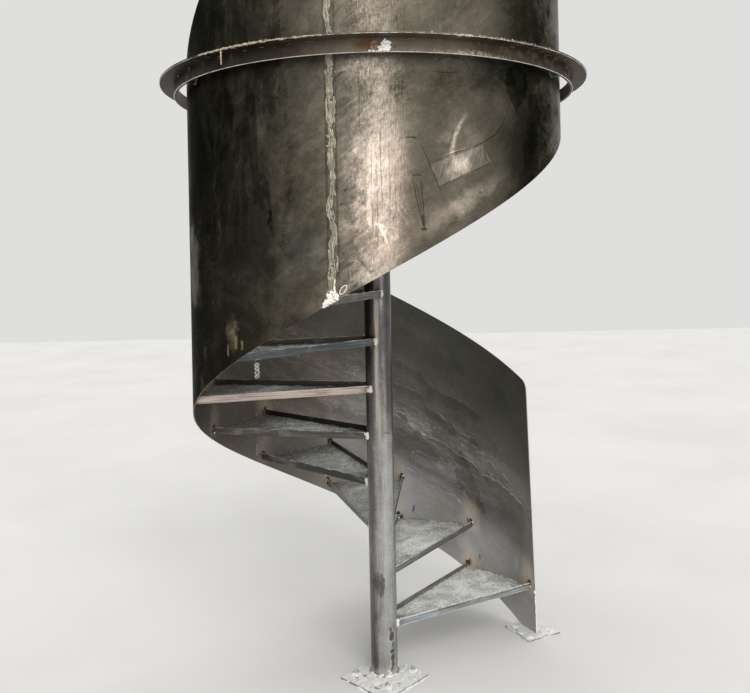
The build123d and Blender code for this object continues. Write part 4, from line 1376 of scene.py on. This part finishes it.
def make_cement(rng):
    """Cement smeared over the base plate and the foot plate and drawn out to the floor."""
    cement = Shape()
    base_corners = [polar(0.1853, 91.7 + 90 * k) + Vector((0, BASE_Y, 0)) for k in range(4)]
    skirt(cement, base_corners, PLATE_TOP, 4, 0.007, 0.42)
    for number in range(34):
        a, r = rng.uniform(0, math.tau), rng.uniform(0.07, 0.17)
        x, y = r * math.cos(a), BASE_Y + r * math.sin(a) * 0.95
        if abs(x) + abs(y - BASE_Y) < 0.168:
            mound(cement, (x, y), (rng.uniform(0.01, 0.04), rng.uniform(0.004, 0.012)),
                rng.uniform(0.0008, 0.002), PLATE_TOP, 5 + number * 3.1, 10, rng.uniform(0, 180))
    azimuth = (START + LIFT) / 2
    turn = Matrix.Rotation(math.radians(azimuth), 3, "Z")

    def on_plate(x, y):
        return polar(0.79, azimuth) + turn @ Vector((x, y, 0))

    corners = [on_plate(0.09 * sx, 0.09 * sy) for sx, sy in ((1, -1), (-1, -1), (-1, 1), (1, 1))]
    skirt(cement, corners, FOOT_TOP, 9, 0.008, 0.5)
    for sx, sy, wide, thick in ((-0.066, -0.066, 0.018, 0.006), (-0.06, 0.058, 0.016, 0.005),
            (0.056, -0.066, 0.015, 0.005), (-0.074, -0.01, 0.014, 0.004), (-0.03, -0.074, 0.02, 0.003),
            (0.02, -0.06, 0.02, 0.002)):
        place = on_plate(sx, sy)
        mound(cement, (place.x, place.y), (wide, wide * 0.7), thick, FOOT_TOP, sx * 900 + sy * 70, 12,
            azimuth + sx * 400)
    return cement


def flat(angle):
    """How far a nut's side stands from its middle, at an angle from a corner."""
    return 0.0095 / math.cos(math.radians(angle % 60 - 30))


def make_anchors(rng):
    """Anchor studs with nuts and washers in the base plate's holes, daubed with cement."""
    steel, cement = Shape(), Shape()
    for k in range(4):
        center = polar(0.12, 4.5 + 90 * k) + Vector((0, ANCHORS_Y, 0))
        turn = rng.uniform(0, 60)

        def disc(z, radius, count):
            return [center + polar(radius, 360 / count * j, PLATE_TOP + z) for j in range(count)]

        steel.loft([disc(z, radius, 24)
            for z, radius in ((0, 0.0115), (0.0004, 0.012), (0.0021, 0.012), (0.0025, 0.0115))])
        rings = []
        for z, corner in ((0.0025, 0.0103), (0.0035, 0.011), (0.0115, 0.011), (0.0125, 0.01)):
            rings.append([center + polar(min(flat(15 * j), corner), turn + 15 * j, PLATE_TOP + z)
                for j in range(24)])
        steel.loft(rings)
        steel.loft([disc(0.0125 + j * 0.0004, 0.0048 if j > 15 else 0.006 if j % 4 < 2 else 0.0054, 16)
            for j in range(18)])
        for _ in range(5):
            a = rng.uniform(0, 360)
            place = center + polar(rng.uniform(0.004, 0.015), a)
            mound(cement, (place.x, place.y), (rng.uniform(0.01, 0.017), rng.uniform(0.007, 0.012)),
                rng.uniform(0.004, 0.011), PLATE_TOP, rng.uniform(0, 99), 12, rng.uniform(0, 180))
    return steel, cement


def make_pole_welds(_):
    """The fillet round the pole's foot, the cap's bead and white drops at the front."""
    dark, white, foot = (Shape() for _ in range(3))
    path = [polar(POLE + 0.002, a, PLATE_TOP + 0.0012) for a in steps(0, 360, 190)]
    foot.bead(path, lean(UP), 0.0095, 0.005, 7, 0.0065, 0.5, False)
    for number, (low, high) in enumerate(((205, 262), (272, 330), (20, 110))):
        path = [polar(POLE + 0.0035 + 0.002 * wave(a * 0.2, number), a, PLATE_TOP + 0.001)
            for a in steps(low, high, 70)]
        white.bead(path, lean(UP, 0.6), 0.012, 0.0062, 3 + number, 0.021, 1.1)
    path = [polar(POLE, a, POLE_TOP - 0.005) for a in steps(0, 360, 170)]
    dark.bead(path, out_at, 0.0065, 0.0022, 17, 0.006, taper=False)
    for azimuth, z in ((291, 0.02), (294, 0.026), (286, 0.016), (289, 0.032), (262, 0.018), (255, 0.016)):
        place = polar(POLE + 0.002, azimuth, z)
        white.lump(place, out_at(place) + UP * 0.5, (0.005, 0.006, 0.0035), azimuth + z, 0.3)
    return dark, white, foot


def make_ring_welds(rng):
    """Beads on the ring, its spacers and the landing's lugs."""
    dark = Shape()
    for azimuth in (210, 270, 330):
        for radius, inward in ((OUTSIDE + 0.0006, False), (RING_INSIDE - 0.0006, True)):
            center = polar(radius, azimuth, RING_BOTTOM + 0.023)
            around = circle(center, polar(1, azimuth + 90), UP, 0.0172)
            path = [around(a) for a in steps(0, math.tau, 44)]
            dark.bead(path, out_at(center, inward), 0.008, 0.004, azimuth, 0.0055, taper=False)
    azimuth = 0
    while azimuth < 360:
        length = rng.uniform(0.8, 2)
        path = [polar(RING_OUTSIDE + 0.0004, a, RING_TOP - 0.0064)
            for a in steps(azimuth, azimuth + length, int(length * 9))]
        dark.bead(path, lean(-UP), 0.0052, 0.0024, azimuth, 0.0055, 0.6)
        azimuth += length + rng.uniform(3, 9)
    for azimuth in steps(WALL_END + 6, FIRST_NOSING + TREADS * TURN + LANDING_TURN, 3):
        for radius, inward in ((OUTSIDE + 0.0005, False), (RING_INSIDE - 0.0005, True)):
            for hand in (-1, 1):
                low, high = (RING_BOTTOM + 0.004, RING_TOP - 0.004) if inward else (2.6, 2.652)
                beside_lug = azimuth + hand * math.degrees(0.003 / radius)
                path = [polar(radius, beside_lug, z) for z in steps(low, high, 24)]
                out = (out_at(path[0], inward) + polar(1, azimuth + 90) * hand).normalized()
                dark.bead(path, out, 0.007, 0.0035, azimuth + hand)
    return dark


def make_crust(rng):
    """Cream crust on the ring's flange, a run of it, a heat-marked plug and a white lump."""
    crust, white, plug = (Shape() for _ in range(3))
    for low, high, seed in ((226.5, 251, 2), (253, 259.5, 5), (287, 292, 8)):
        path = [polar(FLANGE_OUTSIDE - 0.0008, a, RING_TOP - 0.0048 + 0.0025 * wave(a * 0.9, seed))
            for a in steps(low, high, int((high - low) * 5))]
        crust.bead(path, out_at, 0.006, 0.0026, seed, 0.011, 0.8)
    for _ in range(90):
        azimuth = rng.gauss(243, 7.5)
        z = RING_TOP - 0.005 + rng.uniform(-0.002, 0.0042)
        place = polar(FLANGE_OUTSIDE - rng.uniform(-0.001, 0.006), azimuth, z)
        crust.drop(rng, place, out_at(place), (0.001, 0.003), 1.7, 0.7)
    for _ in range(150):
        place = polar(RING_OUTSIDE, rng.gauss(293, 7), RING_BOTTOM + abs(rng.gauss(0, 0.006)) + 0.001)
        crust.drop(rng, place, out_at(place), (0.0007, 0.0019), 1.6, 0.6)
    for _ in range(50):
        place = polar(FLANGE_OUTSIDE - 0.001, rng.gauss(300, 8), RING_TOP - rng.uniform(0.0005, 0.0055))
        crust.drop(rng, place, out_at(place), (0.0012, 0.003), 1.6, 0.7)
    path = [polar(FLANGE_OUTSIDE - 0.0012, 234.5 + 0.06 * wave(z * 50), z) for z in steps(2.4985, 2.443, 40)]
    crust.bead(path, out_at, 0.0044, 0.0034, 4, 0.011, 0.4)
    center = polar(RING_OUTSIDE, 270.2, 2.4705)
    rings = []
    dish = ((0.0165, -0.001), (0.0165, 0.0008), (0.015, 0.0016), (0.012, 0.0012), (0.006, 0.001))
    for radius, rise in dish:
        around = circle(center + out_at(center) * rise, polar(1, 0.2), UP, radius)
        rings.append([around(a) for a in turns(40)])
    plug.loft(rings)
    for z, low, high, count, size in FILLER_ROWS:
        for azimuth in steps(low, high, count):
            place = polar(RING_OUTSIDE + rng.uniform(0, size * 1.3), azimuth + rng.gauss(0, 0.08),
                z + rng.gauss(0, 0.0011))
            white.drop(rng, place, out_at(place), (size * 0.75, size * 1.15), 0.9, 1, 90, 0.35, 2)
    return crust, white, plug


def make_spatter(rng):
    """Drops of weld metal and crumbs on the treads and low on the wall and the pole."""
    drops, crumbs = Shape(), Shape()
    for number in range(TREADS + 1):
        (nosing, _), (back, _) = tread_sides(number)
        for _ in range(60 if number < 8 else 30):
            radius = rng.choice((rng.uniform(0.1, 0.76), rng.uniform(0.7, 0.768)))
            place = pan_point(number, rng.uniform(nosing + 2.5, back - 2.5), radius, 0.0002)
            drops.drop(rng, place, UP, (0.0008, 0.0021), (0.8, 1.5), 0.7, other=crumbs, share=0.6)
        for wall in (nosing, back):
            for _ in range(9):
                place = polar(INSIDE, wall + rng.gauss(0, 2.2), tread_top(number) + rng.uniform(-0.06, 0.05))
                if place.z >= lower_edge(wall) + 0.03:
                    drops.drop(rng, place, in_at(place), (0.0007, 0.0018), 1, 0.7)
    return drops, crumbs


def make_ring_edge_highlight(_):
    """The ring's lower outer edge and its flange's rim, rounded, in a pale finish that paints a highlight
    along them.
    """
    edge = Shape()
    for radius, level, thick in ((RING_OUTSIDE - 0.0006, RING_BOTTOM + 0.0006, 0.0016),
            (FLANGE_OUTSIDE - 0.0012, RING_TOP - 0.0052, 0.0012)):
        rings = []
        for k in range(360):
            swell = thick * (1 + 0.25 * wave(k * 0.21, radius * 50))
            rings.append([polar(radius + swell * math.cos(a), k, level + swell * math.sin(a))
                for a in turns(8)])
        edge.loft(rings, closed=True)
    return edge


# The scene

# Each maker, which is given the one random generator in this order: its pieces' slot, then the
# name and the look of each shape it returns
PIECES = (
    (make_bar_welds, "bar_steel", ("bar_welds_bright", "weld_bright"), ("bar_welds_dark", "weld_dark"),
        ("bar_weld_slag", "slag"), ("bar_edges", "bare_edge_and_highlight")),
    (make_pan_welds, "pan_steel", ("pan_stitches", "stitch")),
    (make_seams, "wall_sheet_steel", ("seam_putty", "putty"), ("seam_beads", "stitch"),
        ("seam_clumps", "weld_clump"), ("seam_shadow_rims", "seam_shadow_rim")),
    (make_seam_foot, "wall_sheet_steel", ("seam_foot_filler", "white_filler")),
    (make_start_edge, "wall_sheet_steel", ("start_edge_filler", "white_filler")),
    (make_cement, "floor_plate_steel", ("cement_smears", "cement")),
    (make_anchors, "floor_plate_steel", ("anchors", "zinc"), ("anchor_cement", "cement")),
    (make_pole_welds, "pole_steel", ("pole_welds", "weld_dark"), ("pole_foot_cement", "cement"),
        ("pole_foot_fillet", "stitch")),
    (make_ring_welds, "ring_steel", ("ring_welds", "weld_dark")),
    (make_ring_edge_highlight, "ring_steel", ("ring_edge_highlight", "bare_edge_and_highlight")),
    (make_crust, "ring_steel", ("ring_crust", "crust"), ("ring_filler", "weld_clump"),
        ("ring_plug", "heated_plug")),
    (make_spatter, "pan_steel", ("spatter", "weld_dark"), ("crumbs", "cement")),
)


def dress_solids():
    sheets = {
        "wall_sheet_lower": wall_finish("wall_sheet_lower", detailed_inside=True),
        "wall_sheet_middle": wall_finish("wall_sheet_middle", "left", True),
        "wall_sheet_upper": wall_finish("wall_sheet_upper", "right"),
    }
    sheets["landing_rim"] = sheets["wall_sheet_middle"]
    pole, bars, pans = pole_finish(), bar_finish(), pan_finish()
    ring, plates = ring_finish(), floor_plate_finish()
    for name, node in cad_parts.items():
        if name in sheets:
            material = sheets[name]
        elif name in ("center_pole", "pole_cap"):
            material = pole
        elif name.endswith("_bars"):
            material = bars
        elif name.endswith("_pan"):
            material = pans
        elif name.startswith("ring") or name == "landing_lugs":
            material = ring
        else:
            material = plates
        node.data.materials.clear()
        node.data.materials.append(material)


def make_pieces():
    looks = {name: crumb_finish(name, *shades) for name, shades in CRUMBS.items()}
    rng = random.Random(8)
    for maker, slot, *pieces in PIECES:
        shapes = maker(rng)
        for shape, (name, look) in zip(shapes if isinstance(shapes, tuple) else [shapes], pieces):
            shape.piece(name, looks[look], slot)


def make_floor():
    far = 15
    mesh = bpy.data.meshes.new("floor")
    mesh.from_pydata([(-far, -far, 0), (far, -far, 0), (far, far, 0), (-far, far, 0)], [], [(0, 1, 2, 3)])
    floor = bpy.data.objects.new("floor", mesh)
    bpy.context.scene.collection.objects.link(floor)
    mesh.materials.append(floor_finish())


def main():
    make_camera()
    make_light()
    dress_solids()
    make_pieces()
    make_floor()


main()
